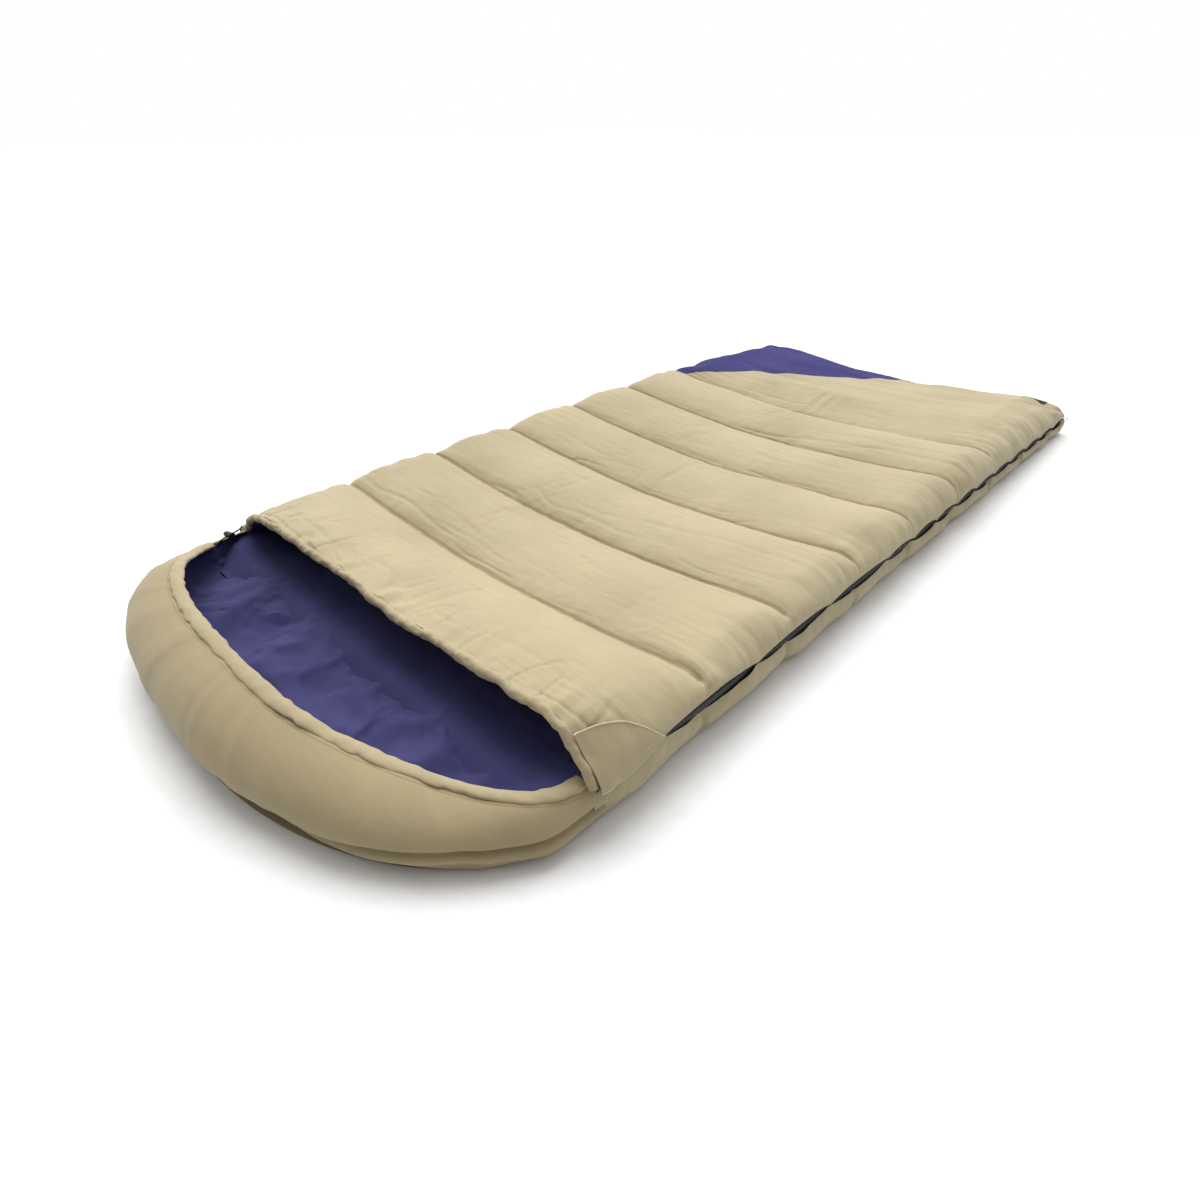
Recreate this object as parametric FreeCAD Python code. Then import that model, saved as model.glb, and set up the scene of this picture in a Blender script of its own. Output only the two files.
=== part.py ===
import FreeCAD, Part

import math
import os
from FreeCAD import Vector

# Rectangular sleeping bag with a hood, closed and lying flat on the ground.
# Millimetres. +Z up, the head end at -Y, the foot at +Y, the zipped side at +X.
# "s" is the distance from the mouth of the bag towards the foot, "split" the height of the
# zip line, where the top quilt and the base quilt meet.

# Driving dimensions
BAG_LENGTH = 1930.0        # mouth to foot
HALF_WIDTH = 505.0         # half the width of the quilts' rounded section
HOOD_REACH = 325.0         # how far the hood lies beyond the mouth
SPLIT_HEAD = 80.0          # height of the zip line at the mouth
SPLIT_FOOT = 38.0          # height of the zip line at the foot
BODY_CROWN = 88.0          # height of the top quilt along the middle
EDGE_EXTRA = 34.0          # how much higher the quilt stands beside its sides
FOOT_CROWN_DROP = 14.0     # how much lower the middle is at the foot
FOOT_EDGE_DROP = 8.0
TOP_FOOT_DROP = 7.0        # thinner filling at the foot
BASE_FOOT_DROP = 14.0
TAPER_START = 1100.0       # where the quilts begin to thin towards the foot
MOUTH_CROWN = 155.0        # height of the open mouth
MOUTH_FADE = 230.0         # length over which the mouth settles to the body's height
TOP_LOFT = 37.0            # thickness of the top quilt
BASE_LOFT = 42.0           # thickness of the base quilt
SIDE_LOFT = 30.0           # thickness of the quilts at their sides
HEM_LOFT = 14.0            # thickness of the top quilt at its hem
HEM_FADE = 80.0
SKIN = 1.2                 # cloth, drawn thicker than it is
SEAM_GAP = 8.0             # from the zip line to the cloth on either side
PINCH = 8.0                # how far the cloth pulls in at the zip line
PINCH_HEIGHT = 18.0
FOLD_WIDTH = 40.0          # width over which the base rises to the fold on the left
FOLD_CLEARANCE = 0.3
FOOT_POWER = 32.0          # higher is a squarer foot
SIDE_POWER = 8.0           # higher is a squarer side
MOUTH_SQUARENESS = 6.0     # added to SIDE_POWER at the mouth
BASE_FLATNESS = 1.2        # how much of the underside lies flat
END_LIP = 0.5              # height of step where a rounded end stops

# Zip
TAPE_THICKNESS = 1.0
TAPE_MARGIN = 0.1
TEETH_NEAR = 1.2           # from the zip line to the teeth
TEETH_HEIGHT = 2.0
TEETH_THICKNESS = 2.4
ZIP_X = HALF_WIDTH - PINCH
ZIP_START = 3.0
ZIP_END = BAG_LENGTH - 8.0
SLIDER_HALF = 8.0          # half the length of a slider
HEAD_SLIDER_S = 16.0
FOOT_SLIDER_S = BAG_LENGTH - 34.0
FOOT_ZIP_SLIDER_X = 482.0
SLIDER_CLEARANCE = 4.0

# Hood
HOOD_GAP = 7.0             # the hood starts this far in front of the mouth
HOOD_HALF = 500.0
HOOD_LEFT_POWER = 2.8
HOOD_RIGHT_POWER = 2.0
RIM_HEIGHT = 150.0
RIM_RIGHT = 80.0
RIM_LEFT = 86.0
RIM_INSET = 95.0           # how far the rim curls in over the hood
RIM_INSET_RIGHT = 22.0
RIM_INSET_LEFT = 30.0
RIM_THICKNESS = 10.0
FLOOR_INSET = 60.0         # from the outermost bulge in to where the hood lies on the ground
LINING_INSET = 42.0
LINING_FLOOR_INSET = 92.0
CASING_RADIUS = 7.0
CASING_BORE = 2.4
CASING_END = 169.0         # angle round the hood at which the drawcord leaves its casing
CORD_RADIUS = 1.5

FOOT_TRIM = 5.4            # the foot zip's pull stands this far beyond the foot
RIGHT_REACH = 512.7        # outermost point on the right, a zip pull
LEFT_REACH = 500.0         # outermost point on the left but for the drawcord's tail

MOUTH_Y = -(BAG_LENGTH + FOOT_TRIM - HOOD_REACH) / 2
CENTRE_X = (LEFT_REACH - RIGHT_REACH) / 2
ZIP_SLOPE = math.degrees(math.atan((SPLIT_FOOT - SPLIT_HEAD) / BAG_LENGTH))
WIDTH_ANGLES = [math.radians(10 * step) for step in range(-9, 10)]


def at(x, s, z):
    """A point of the row frame, s being measured from the mouth."""
    return Vector(x + CENTRE_X, s + MOUTH_Y, z)


def split(s):
    return SPLIT_HEAD + (SPLIT_FOOT - SPLIT_HEAD) * s / BAG_LENGTH


def taper(s):
    return min(1.0, max(0.0, (s - TAPER_START) / (BAG_LENGTH - TAPER_START)))


def mouth_share(s):
    return max(0.0, 1.0 - max(s, 0.0) / MOUTH_FADE) ** 2


def crown(u, s):
    """Height of the top quilt at u, the share of the half width, before its side rounds down."""
    body = BODY_CROWN - FOOT_CROWN_DROP * taper(s)
    body += (EDGE_EXTRA - FOOT_EDGE_DROP * taper(s)) * abs(u) ** 1.5
    share = mouth_share(s)
    return body * (1 - share) + MOUTH_CROWN * share


def side_round(u, s):
    power = SIDE_POWER + MOUTH_SQUARENESS * mouth_share(s)
    return math.sqrt(max(0.0, 1 - abs(u) ** power))


def foot_round(s, length):
    return math.sqrt(max(0.0, 1 - (max(s, 0.0) / length) ** FOOT_POWER))


def hem_share(s):
    return min(1.0, max(s, 0.0) / HEM_FADE) ** 0.5


def top_loft(s):
    full = TOP_LOFT - TOP_FOOT_DROP * taper(s)
    return HEM_LOFT + (full - HEM_LOFT) * hem_share(s)


def side_loft(s):
    return HEM_LOFT + (SIDE_LOFT - HEM_LOFT) * hem_share(s)


def base_loft(s):
    return BASE_LOFT - BASE_FOOT_DROP * taper(s)


def pinched(x, rise):
    """x pulled in beside the zip line, rise being the distance from the quilt's seat."""
    pull = PINCH * max(0.0, 1 - abs(rise) / PINCH_HEIGHT) ** 2
    return x - math.copysign(pull, x) if abs(x) > HALF_WIDTH / 2 else x


def top_curve(s, side_inset, drop, length):
    """Section line of the top quilt, side_inset and drop inside its outer surface."""
    seat = split(s) + SEAM_GAP
    points = []
    for angle in WIDTH_ANGLES:
        u = math.sin(angle)
        rise = (crown(u, s) - seat - drop) * side_round(u, s) * foot_round(s, length)
        points.append((pinched((HALF_WIDTH - side_inset) * u, rise), seat + rise))
    return points


def base_seat(x, s):
    """Top of the base quilt's side: below the zip, and up to the fold on the left."""
    share = min(1.0, max(0.0, (-x - (ZIP_X - FOLD_WIDTH)) / FOLD_WIDTH))
    return split(s) - SEAM_GAP + (2 * SEAM_GAP - FOLD_CLEARANCE) * share


def base_curve(s, side_inset, floor, length, flat):
    """Section line of the base quilt down to the height floor, with a flat underside."""
    points = []
    for angle in WIDTH_ANGLES:
        u = math.sin(angle)
        x = (HALF_WIDTH - side_inset) * u
        seat = base_seat(x, s)
        depth = min(1.0, flat * side_round(u, s + BAG_LENGTH) * foot_round(s, length))
        drop = (seat - floor) * depth
        points.append((pinched(x, drop), seat - drop))
    return points


def loft(sections):
    """Closed solid through polygons that have the same number of corners."""
    wires = [Part.makePolygon(points + [points[0]]) for points in sections]
    return Part.makeLoft(wires, True, True)


def between(first, second, stations):
    """Solid between two section lines, each a function of s."""
    sections = []
    for s in stations:
        outline = first(s) + second(s)[::-1]
        sections.append([at(x, s, z) for x, z in outline])
    return loft(sections)


BODY_STATIONS = [0.0, 30.0, 80.0, 150.0, MOUTH_FADE, TAPER_START, 1700.0, 1790.0, 1850.0]
INNER_LENGTH = BAG_LENGTH - SIDE_LOFT
SKIN_LENGTH = BAG_LENGTH - SKIN
STATIONS = BODY_STATIONS + [
    INNER_LENGTH - 20.0,
    INNER_LENGTH - END_LIP,
    INNER_LENGTH,
    BAG_LENGTH - 12.0,
    BAG_LENGTH - 4.0,
    SKIN_LENGTH - END_LIP,
    SKIN_LENGTH,
    BAG_LENGTH - END_LIP,
]
BASE_HEAD = -HOOD_GAP + 1.0


def upto(length, head=None):
    first = [] if head is None else [head]
    return first + [s for s in STATIONS if s <= length - END_LIP + 1e-6]


def top_layer(number):
    """Section line number 0 to 3 of the top quilt, from the outside in."""
    def line(s):
        loft_here, side = top_loft(s), side_loft(s)
        insets = [0.0, SKIN, side - SKIN, side]
        drops = [0.0, SKIN, loft_here - SKIN, loft_here]
        lengths = [BAG_LENGTH, SKIN_LENGTH, INNER_LENGTH, INNER_LENGTH]
        return top_curve(s, insets[number], drops[number], lengths[number])
    return line


def base_layer(number):
    """Section line number 0 to 3 of the base quilt, from the ground up."""
    def line(s):
        insets = [0.0, SKIN, SIDE_LOFT - SKIN, SIDE_LOFT]
        floors = [0.0, SKIN, base_loft(s) - SKIN, base_loft(s)]
        lengths = [BAG_LENGTH, SKIN_LENGTH, INNER_LENGTH, INNER_LENGTH]
        flats = [BASE_FLATNESS, BASE_FLATNESS, 1.0, 1.0]
        return base_curve(s, insets[number], floors[number], lengths[number], flats[number])
    return line


# Top quilt

PANEL_LEFT_S = 1290.0      # where the coloured foot panel starts on the left side
PANEL_RIGHT_X = 235.0      # where it ends on the foot
HEM_DEPTH = 4.0
HEM_OVERLAP = 1.0
LEDGE_X = (494.0, 504.3)   # seam on the right that reaches out to the closure tab
LEDGE_S = (-1.5, 0.0)
LEDGE_Z = (95.0, 120.0)


def panel_prism():
    """Everything on the foot side of the slanting seam of the foot panel."""
    start = (-HALF_WIDTH, PANEL_LEFT_S)
    end = (PANEL_RIGHT_X, BAG_LENGTH)
    beyond = 60.0
    direction = (end[0] - start[0], end[1] - start[1])
    corners = [
        (start[0] - beyond * direction[0] / 100, start[1] - beyond * direction[1] / 100),
        (end[0] + beyond * direction[0] / 100, end[1] + beyond * direction[1] / 100),
        (start[0] - beyond * direction[0] / 100, BAG_LENGTH + 1000),
    ]
    face = Part.Face(Part.makePolygon([at(x, s, -10) for x, s in corners + corners[:1]]))
    return face.extrude(Vector(0, 0, 400))


def top_shell_parts():
    whole = between(top_layer(0), top_layer(1), upto(BAG_LENGTH))
    prism = panel_prism()
    return whole.cut(prism), whole.common(prism)


def top_fill():
    return between(top_layer(1), top_layer(2), upto(SKIN_LENGTH))


def top_lining():
    return between(top_layer(2), top_layer(3), upto(INNER_LENGTH))


def top_hem():
    """Folded cloth that closes the top quilt's edge at the mouth, with a ledge for the tab."""
    def outer(s):
        return top_curve(0.0, -HEM_OVERLAP, -HEM_OVERLAP, BAG_LENGTH)

    def inner(s):
        return top_curve(0.0, HEM_LOFT + HEM_OVERLAP, HEM_LOFT + HEM_OVERLAP, BAG_LENGTH)

    ledge = Part.makeBox(LEDGE_X[1] - LEDGE_X[0], LEDGE_S[1] - LEDGE_S[0], LEDGE_Z[1] - LEDGE_Z[0],
                         at(LEDGE_X[0], LEDGE_S[0], LEDGE_Z[0]))
    return between(outer, inner, [-HEM_DEPTH, 0.0]).fuse(ledge)


# Base quilt

def base_shell():
    return between(base_layer(0), base_layer(1), upto(BAG_LENGTH, BASE_HEAD))


def base_fill():
    return between(base_layer(1), base_layer(2), upto(SKIN_LENGTH, BASE_HEAD))


def base_lining():
    """The lining stops a little short of the foot seam."""
    return between(base_layer(2), base_layer(3), upto(INNER_LENGTH - 19.0, BASE_HEAD))


def draft_tube():
    """Padded tube inside the bag, along the zip."""
    radius, x = 8.0, 440.0
    start, end = at(x, 15.0, 64.5), at(x, 1650.0, 51.0)
    axis = end.sub(start)
    return Part.makeCylinder(radius, axis.Length, start, axis)


# Hood

HOOD_ANGLES = [0, 5, 10, 16, 24, 34, 46, 58, 70, 80, 90,
               100, 110, 122, 134, 144, 152, 158, 163, 166, 169, 172, 176, 180]
WALL_ANGLES = [math.radians(a) for a in range(-90, 91, 18)]


def hood_plan(degrees, inset):
    """Plan position on the hood's outline moved in by inset. 0 is right, 90 front, 180 left."""
    phi = math.radians(degrees)
    power = HOOD_RIGHT_POWER if degrees <= 90 else HOOD_LEFT_POWER
    across = math.copysign(abs(math.cos(phi)) ** (2 / power), math.cos(phi))
    along = abs(math.sin(phi)) ** (2 / power) if degrees not in (0, 180) else 0.0
    reach = HOOD_REACH - HOOD_GAP
    return (HOOD_HALF - inset) * across, -HOOD_GAP - (reach - inset) * along


def rim_height(degrees):
    lean = abs(math.cos(math.radians(degrees)))
    if degrees <= 90:
        return RIM_HEIGHT - (RIM_HEIGHT - RIM_RIGHT) * lean
    return RIM_HEIGHT - (RIM_HEIGHT - RIM_LEFT) * lean ** 6


def rim_inset(degrees):
    lean = abs(math.cos(math.radians(degrees)))
    if degrees <= 90:
        return RIM_INSET - (RIM_INSET - RIM_INSET_RIGHT) * lean ** 8
    return RIM_INSET - (RIM_INSET - RIM_INSET_LEFT) * lean ** 10


def wall_outside(degrees, skin):
    """Outer line of the hood's wall, as (inset, height), moved in by skin."""
    rim, inset = rim_height(degrees), rim_inset(degrees)
    middle = 0.45 * rim
    line = []
    for angle in WALL_ANGLES:
        curl, lift = 1 - math.cos(angle), math.sin(angle)
        if angle < 0:
            line.append((skin + FLOOR_INSET * curl, middle + (middle - skin) * lift))
        else:
            line.append((skin + (inset - skin) * curl, middle + (rim - skin - middle) * lift))
    return line


def wall_inside(degrees, skin):
    """Inner line of the hood's wall, as (inset, height), moved out by skin."""
    rim, inset = rim_height(degrees) - RIM_THICKNESS, rim_inset(degrees)
    middle = BASE_LOFT + 0.4 * (rim - BASE_LOFT)
    line = []
    for angle in WALL_ANGLES:
        curl, lift = 1 - math.cos(angle), math.sin(angle)
        start = min(LINING_INSET, inset - 2.0) - skin
        if angle < 0:
            floor = BASE_LOFT - skin
            line.append((start + (LINING_FLOOR_INSET - start) * curl,
                         middle + (middle - floor) * lift))
        else:
            line.append((start + (inset - start) * curl, middle + (rim + skin - middle) * lift))
    return line


def hood_layer(number):
    """Wall line number 0 to 3 of the hood at an angle, from the outside in."""
    def line(degrees):
        if number < 2:
            return wall_outside(degrees, SKIN * number)
        return wall_inside(degrees, SKIN * (3 - number))
    return line


def hood_wall(first, second):
    """Wall of one layer of the hood, as a solid."""
    return loft([hood_section(degrees, first, second) for degrees in HOOD_ANGLES])


def hood_floor(first, second):
    """Floor of one layer of the hood, inside its wall."""
    sections = [hood_section(degrees, first, second) for degrees in HOOD_ANGLES]
    return loft([[section[0] for section in sections], [section[-1] for section in sections]])


def hood_section(degrees, first, second):
    section = []
    for inset, z in first(degrees) + second(degrees)[::-1]:
        x, s = hood_plan(degrees, inset)
        section.append(at(x, s, z))
    return section


def casing_ring(degrees, radius):
    """Octagon round the drawcord's line at an angle round the hood."""
    centre_inset = rim_inset(degrees) + CASING_RADIUS + 0.2
    centre_height = rim_height(degrees) - 3.0
    ring = []
    for corner in range(8):
        turn = math.radians(22.5 + 45 * corner)
        inset = centre_inset + radius * math.cos(turn)
        x, s = hood_plan(degrees, inset)
        ring.append(at(x, s, centre_height + radius * math.sin(turn)))
    return ring


CASING_ANGLES = [a for a in HOOD_ANGLES if a <= CASING_END]


def hood_casing():
    """Stitched channel along the hood's rim, open inside for the drawcord."""
    outer = loft([casing_ring(a, CASING_RADIUS) for a in CASING_ANGLES])
    bore = loft([casing_ring(a, CASING_BORE) for a in CASING_ANGLES])
    return outer.cut(bore)


def drawcord():
    """The cord inside its casing, from the right end to where it comes out."""
    return loft([casing_ring(a, CORD_RADIUS) for a in CASING_ANGLES])


# Zips. Each is drawn along +Y with the tape's plane at x = 0 and the zip line at z = 0,
# and is then put in its place along the side or the foot.

def box(x, y, z):
    """Box from three (low, high) pairs."""
    corner = Vector(x[0], y[0], z[0])
    return Part.makeBox(x[1] - x[0], y[1] - y[0], z[1] - z[0], corner)


def band(low, high, start, end, thickness):
    return box((-thickness / 2, thickness / 2), (start, end), (low, high))


def zip_tape(sign, start, end):
    """Half of the zip's tape, above the zip line for sign 1 and below it for -1."""
    near, far = sign * (TEETH_NEAR + 0.3), sign * (SEAM_GAP - TAPE_MARGIN)
    tape = band(min(near, far), max(near, far), start, end, TAPE_THICKNESS)
    return tape.cut(zip_teeth(sign, start - 1, end + 1))


def zip_teeth(sign, start, end):
    """One row of teeth, drawn as a plain bar. The rows leave room for the slider's divider."""
    near, far = sign * TEETH_NEAR, sign * (TEETH_NEAR + TEETH_HEIGHT)
    return band(min(near, far), max(near, far), start, end, TEETH_THICKNESS)


PLATE_IN = 2.4             # from the tape's plane to the inside of a slider's plate
PLATE_OUT = 3.5
SLIDER_WIDTH = 6.5
FLANGE = 1.5
DIVIDER = 0.8


def slider_shell():
    """Two plates joined by a divider, with flanges that hold the teeth in."""
    length = (-SLIDER_HALF, SLIDER_HALF)
    plates = [box((PLATE_IN, PLATE_OUT), length, (-SLIDER_WIDTH, SLIDER_WIDTH)),
              box((-PLATE_OUT, -PLATE_IN), length, (-SLIDER_WIDTH, SLIDER_WIDTH))]
    body = plates[0].fuse(plates[1])
    body = body.fuse(box((-PLATE_IN, PLATE_IN), (SLIDER_HALF - 3, SLIDER_HALF), (-DIVIDER, DIVIDER)))
    for sign in (-1, 1):
        z = sorted((sign * SLIDER_WIDTH, sign * (SLIDER_WIDTH - FLANGE)))
        for x in ((1.0, PLATE_IN), (-PLATE_IN, -1.0)):
            body = body.fuse(box(x, length, z))
    corners = [edge for edge in body.Edges if is_outer_corner(edge)]
    return body.makeFillet(1.2, corners)


def is_outer_corner(edge):
    """The four short edges at the corners of the outer plate."""
    middle = edge.BoundBox.Center
    return (abs(edge.BoundBox.XLength - (PLATE_OUT - PLATE_IN)) < 0.01
            and abs(middle.x - (PLATE_OUT + PLATE_IN) / 2) < 0.01
            and abs(abs(middle.z) - SLIDER_WIDTH) < 0.01)


PIN_X = 5.4
PIN_RADIUS = 0.8
EYE_RADIUS = 1.75
EYE_BORE = 1.0
PULL_LENGTH = 21.0
RING_RADIUS = 4.6
RING_WIRE = 1.0
STUD_RADIUS = 1.2
STUD_BORE = 1.6


def flip_slider():
    """Slider with two lugs and a pin, on which its pull flips over."""
    body = slider_shell()
    for sign in (-1, 1):
        z = sorted((sign * 2.2, sign * 3.4))
        body = body.fuse(box((PLATE_OUT - 0.1, PIN_X), (-1.8, 1.8), z))
        body = body.fuse(Part.makeCylinder(1.8, 1.2, Vector(PIN_X, 0, z[0])))
    return body.fuse(Part.makeCylinder(PIN_RADIUS, 6.0, Vector(PIN_X, 0, -3.0)))


def flip_pull():
    """Flat pull with an eye on the slider's pin and a wire ring at its end."""
    arm = box((PIN_X - 0.7, PIN_X + 0.7), (0, PULL_LENGTH), (-1.8, 1.8))
    eye = Part.makeCylinder(EYE_RADIUS, 3.6, Vector(PIN_X, 0, -1.8))
    pull = arm.fuse(eye)
    pull = pull.cut(Part.makeCylinder(EYE_BORE, 5.0, Vector(PIN_X, 0, -2.5)))
    centre = Vector(PIN_X, PULL_LENGTH + RING_RADIUS - RING_WIRE, 0)
    return pull.fuse(Part.makeTorus(RING_RADIUS, RING_WIRE, centre, Vector(1, 0, 0)))


def stud_slider():
    """Slider with a headed stud, on which its pull swings beside the tape."""
    body = slider_shell()
    stud = Part.makeCylinder(STUD_RADIUS, 3.2, Vector(PLATE_OUT - 0.1, 0, 0), Vector(1, 0, 0))
    head = Part.makeCylinder(2.4, 0.7, Vector(PLATE_OUT + 2.4, 0, 0), Vector(1, 0, 0))
    return body.fuse(stud).fuse(head)


def stud_pull():
    """Slim flat pull that hangs from the stud."""
    low, high = PLATE_OUT + 0.5, PLATE_OUT + 2.0
    plate = box((low, high), (-3.0, 3.0), (-17.0, 0))
    eye = Part.makeCylinder(3.0, high - low, Vector(low, 0, 0), Vector(1, 0, 0))
    tip = Part.makeCylinder(3.0, high - low, Vector(low, 0, -17.0), Vector(1, 0, 0))
    bore = Part.makeCylinder(STUD_BORE, 4.0, Vector(low - 1, 0, 0), Vector(1, 0, 0))
    slot = box((low - 1, high + 1), (-1.2, 1.2), (-16.0, -7.0))
    return plate.fuse(eye).fuse(tip).cut(bore).cut(slot)


def on_side(shape, s=0.0):
    """Puts a zip piece on the side zip, moved along it by s."""
    placed = shape.copy()
    placed.translate(Vector(0, s, 0))
    placed.rotate(Vector(0, 0, 0), Vector(1, 0, 0), ZIP_SLOPE)
    placed.translate(at(ZIP_X, 0, SPLIT_HEAD))
    return placed


FOOT_ZIP_Y = BAG_LENGTH - 2.0


def on_foot(shape, x=0.0, turned=False):
    """Puts a zip piece on the foot zip. Its +Y runs to the right corner.
    A slider or pull is turned so that its +X faces out."""
    placed = shape.copy()
    if turned:
        placed.rotate(Vector(0, 0, 0), Vector(1, 1, 0), 180)
    else:
        placed.rotate(Vector(0, 0, 0), Vector(0, 0, 1), -90)
    placed.translate(at(x, FOOT_ZIP_Y, SPLIT_FOOT))
    return placed


def zip_stops():
    """Metal stops clipped on the lower tape at both ends of the side zip."""
    stops = []
    for start in (ZIP_START - 2.5, ZIP_END + 0.5):
        stop = box((-1.8, 1.8), (start, start + 2.0), (-5.0, -TEETH_NEAR))
        stops.append(on_side(stop.cut(zip_tape(-1, ZIP_START, ZIP_END))))
    return Part.makeCompound(stops)


FOOT_ZIP_LEFT = -ZIP_X + FOLD_WIDTH + 30.0
FOOT_ZIP_RIGHT = ZIP_X - 5.0


def build_zips():
    upper_start = HEAD_SLIDER_S + SLIDER_HALF + SLIDER_CLEARANCE
    upper_end = FOOT_SLIDER_S - SLIDER_HALF - SLIDER_CLEARANCE
    keep("side_zip_lower_tape", on_side(zip_tape(-1, ZIP_START, ZIP_END)))
    keep("side_zip_upper_tape", on_side(zip_tape(1, ZIP_START, ZIP_END)))
    keep("side_zip_lower_teeth", on_side(zip_teeth(-1, ZIP_START, ZIP_END)))
    keep("side_zip_upper_teeth", on_side(zip_teeth(1, upper_start, upper_end)))
    keep("side_zip_stops", zip_stops())
    foot_end = FOOT_ZIP_SLIDER_X - SLIDER_HALF - SLIDER_CLEARANCE
    keep("foot_zip_lower_tape", on_foot(zip_tape(-1, FOOT_ZIP_LEFT, FOOT_ZIP_RIGHT)))
    keep("foot_zip_upper_tape", on_foot(zip_tape(1, FOOT_ZIP_LEFT, FOOT_ZIP_RIGHT)))
    keep("foot_zip_lower_teeth", on_foot(zip_teeth(-1, FOOT_ZIP_LEFT, FOOT_ZIP_RIGHT)))
    keep("foot_zip_upper_teeth", on_foot(zip_teeth(1, FOOT_ZIP_LEFT, foot_end)))


def build_sliders():
    keep("head_slider", on_side(stud_slider(), HEAD_SLIDER_S))
    keep("head_slider_pull", on_side(stud_pull(), HEAD_SLIDER_S))
    keep("foot_slider", on_side(flip_slider(), FOOT_SLIDER_S))
    keep("foot_slider_pull", on_side(flip_pull(), FOOT_SLIDER_S))
    keep("foot_zip_slider", on_foot(flip_slider(), FOOT_ZIP_SLIDER_X, turned=True))
    keep("foot_zip_slider_pull", on_foot(flip_pull(), FOOT_ZIP_SLIDER_X, turned=True))


# Closure tab over the head end of the side zip, with hook and loop patches

TAB_X = (HALF_WIDTH - 0.4, HALF_WIDTH + 1.2)
TAB_START = 1.3
TAB_TIP = (122.0, 90.0)
TAB_TOP = (52.0, 128.0)
TAB_LOW = (66.0, 60.0)
PATCH_S = (34.0, 78.0)
LOOP_Z = (58.0, 70.0)
HOOK_Z = (64.5, 73.0)
LOOP_FACE = 500.5
HOOK_FACE = 503.0


def leaf_outline():
    """Leaf shape in (s, z): straight along the mouth, arcs to the tip above and below."""
    low, high = (TAB_START, 78.0), (TAB_START, 124.0)

    def point(pair):
        return at(TAB_X[0], pair[0], pair[1])

    edges = [
        Part.LineSegment(point(low), point(high)).toShape(),
        Part.Arc(point(high), point(TAB_TOP), point(TAB_TIP)).toShape(),
        Part.Arc(point(TAB_TIP), point(TAB_LOW), point(low)).toShape(),
    ]
    return Part.Wire(edges)


def build_tab():
    leaf = Part.Face(leaf_outline()).extrude(Vector(TAB_X[1] - TAB_X[0], 0, 0))
    keep("closure_tab", leaf)
    hook = box((HOOK_FACE, TAB_X[0]), PATCH_S, HOOK_Z)
    hook.translate(at(0, 0, 0))
    keep("tab_hook_patch", hook)
    loop = box((ZIP_X - 6.0, LOOP_FACE), PATCH_S, LOOP_Z)
    loop.translate(at(0, 0, 0))
    envelope = SHAPES["base_shell"].fuse(SHAPES["base_fill"])
    pieces = loop.cut(envelope).Solids
    keep("tab_loop_patch", max(pieces, key=lambda solid: solid.BoundBox.XMax))


# Label sewn to the foot

LABEL_X = 425.0
LABEL_WIDTH = 62.0
LABEL_S = (BAG_LENGTH - 46.0, BAG_LENGTH - 12.0)
LABEL_THICKNESS = 1.0


def surface_height(x, s):
    u = x / HALF_WIDTH
    seat = split(s) + SEAM_GAP
    return seat + (crown(u, s) - seat) * side_round(u, s) * foot_round(s, BAG_LENGTH)


def label():
    """Thin rectangle that slants down the foot end just above the cloth."""
    lift = 5.0
    ends = [(s, surface_height(LABEL_X, s) + lift) for s in LABEL_S]
    corners = [at(LABEL_X - LABEL_WIDTH / 2, s, z) for s, z in ends]
    corners += [at(LABEL_X - LABEL_WIDTH / 2, s, z + LABEL_THICKNESS) for s, z in ends[::-1]]
    return Part.Face(Part.makePolygon(corners + corners[:1])).extrude(Vector(LABEL_WIDTH, 0, 0))


# Drawcord: its free tail, the cord lock on it and the knot at its end

TAIL_ROUTE = [
    (-445.9, -89.6, 89.7),
    (-452.5, -76.0, 92.0),
    (-457.5, -61.0, 96.6),
    (-468.5, -21.0, 96.9),
    (-485.5, -12.5, 94.6),
    (-499.0, -11.0, 84.5),
    (-506.0, -12.5, 68.5),
    (-507.5, -14.0, 51.5),
]
ARC_SHARE = 0.45
LOCK_RUN = 2               # the lock sits on the straight run after this point of the route
LOCK_OFFSET = 14.5
LOCK_RADIUS = 6.5
LOCK_REACH = (-8.0, 9.0)
LOCK_BORE = 4.3
LOCK_FLOOR = 7.2
CORD_HOLE = 2.2
BUTTON_RADIUS = 4.0
BUTTON_REACH = (-12.5, 2.6)
BUTTON_SLOT = (-5.9, 1.8)
BUTTON_SLOT_HALF = 1.9
SPRING_RADII = (2.4, 3.2)
KNOT_RADIUS = 4.0


def corner_arc(before, corner, after):
    """Arc that rounds a corner of a route, as (start, middle, end, radius)."""
    back, forth = before.sub(corner), after.sub(corner)
    shorter = min(back.Length, forth.Length)
    back.normalize()
    forth.normalize()
    half_turn = (math.pi - back.getAngle(forth)) / 2
    cut = ARC_SHARE * shorter
    radius = cut / math.tan(half_turn)
    bisector = back.add(forth)
    bisector.normalize()
    to_centre = radius / math.cos(half_turn)
    middle = corner.add(bisector.multiply(to_centre - radius))
    start, end = corner.add(back.multiply(cut)), corner.add(forth.multiply(cut))
    return start, middle, end, radius


def cord_path(route):
    """Wire of straight runs joined by tangent arcs."""
    edges, last, radii = [], route[0], []
    for before, corner, after in zip(route, route[1:], route[2:]):
        start, middle, end, radius = corner_arc(before, corner, after)
        edges.append(Part.LineSegment(last, start).toShape())
        edges.append(Part.Arc(start, middle, end).toShape())
        radii.append(round(radius, 1))
        last = end
    edges.append(Part.LineSegment(last, route[-1]).toShape())
    print("cord radii", radii)
    return Part.Wire(edges)


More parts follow.
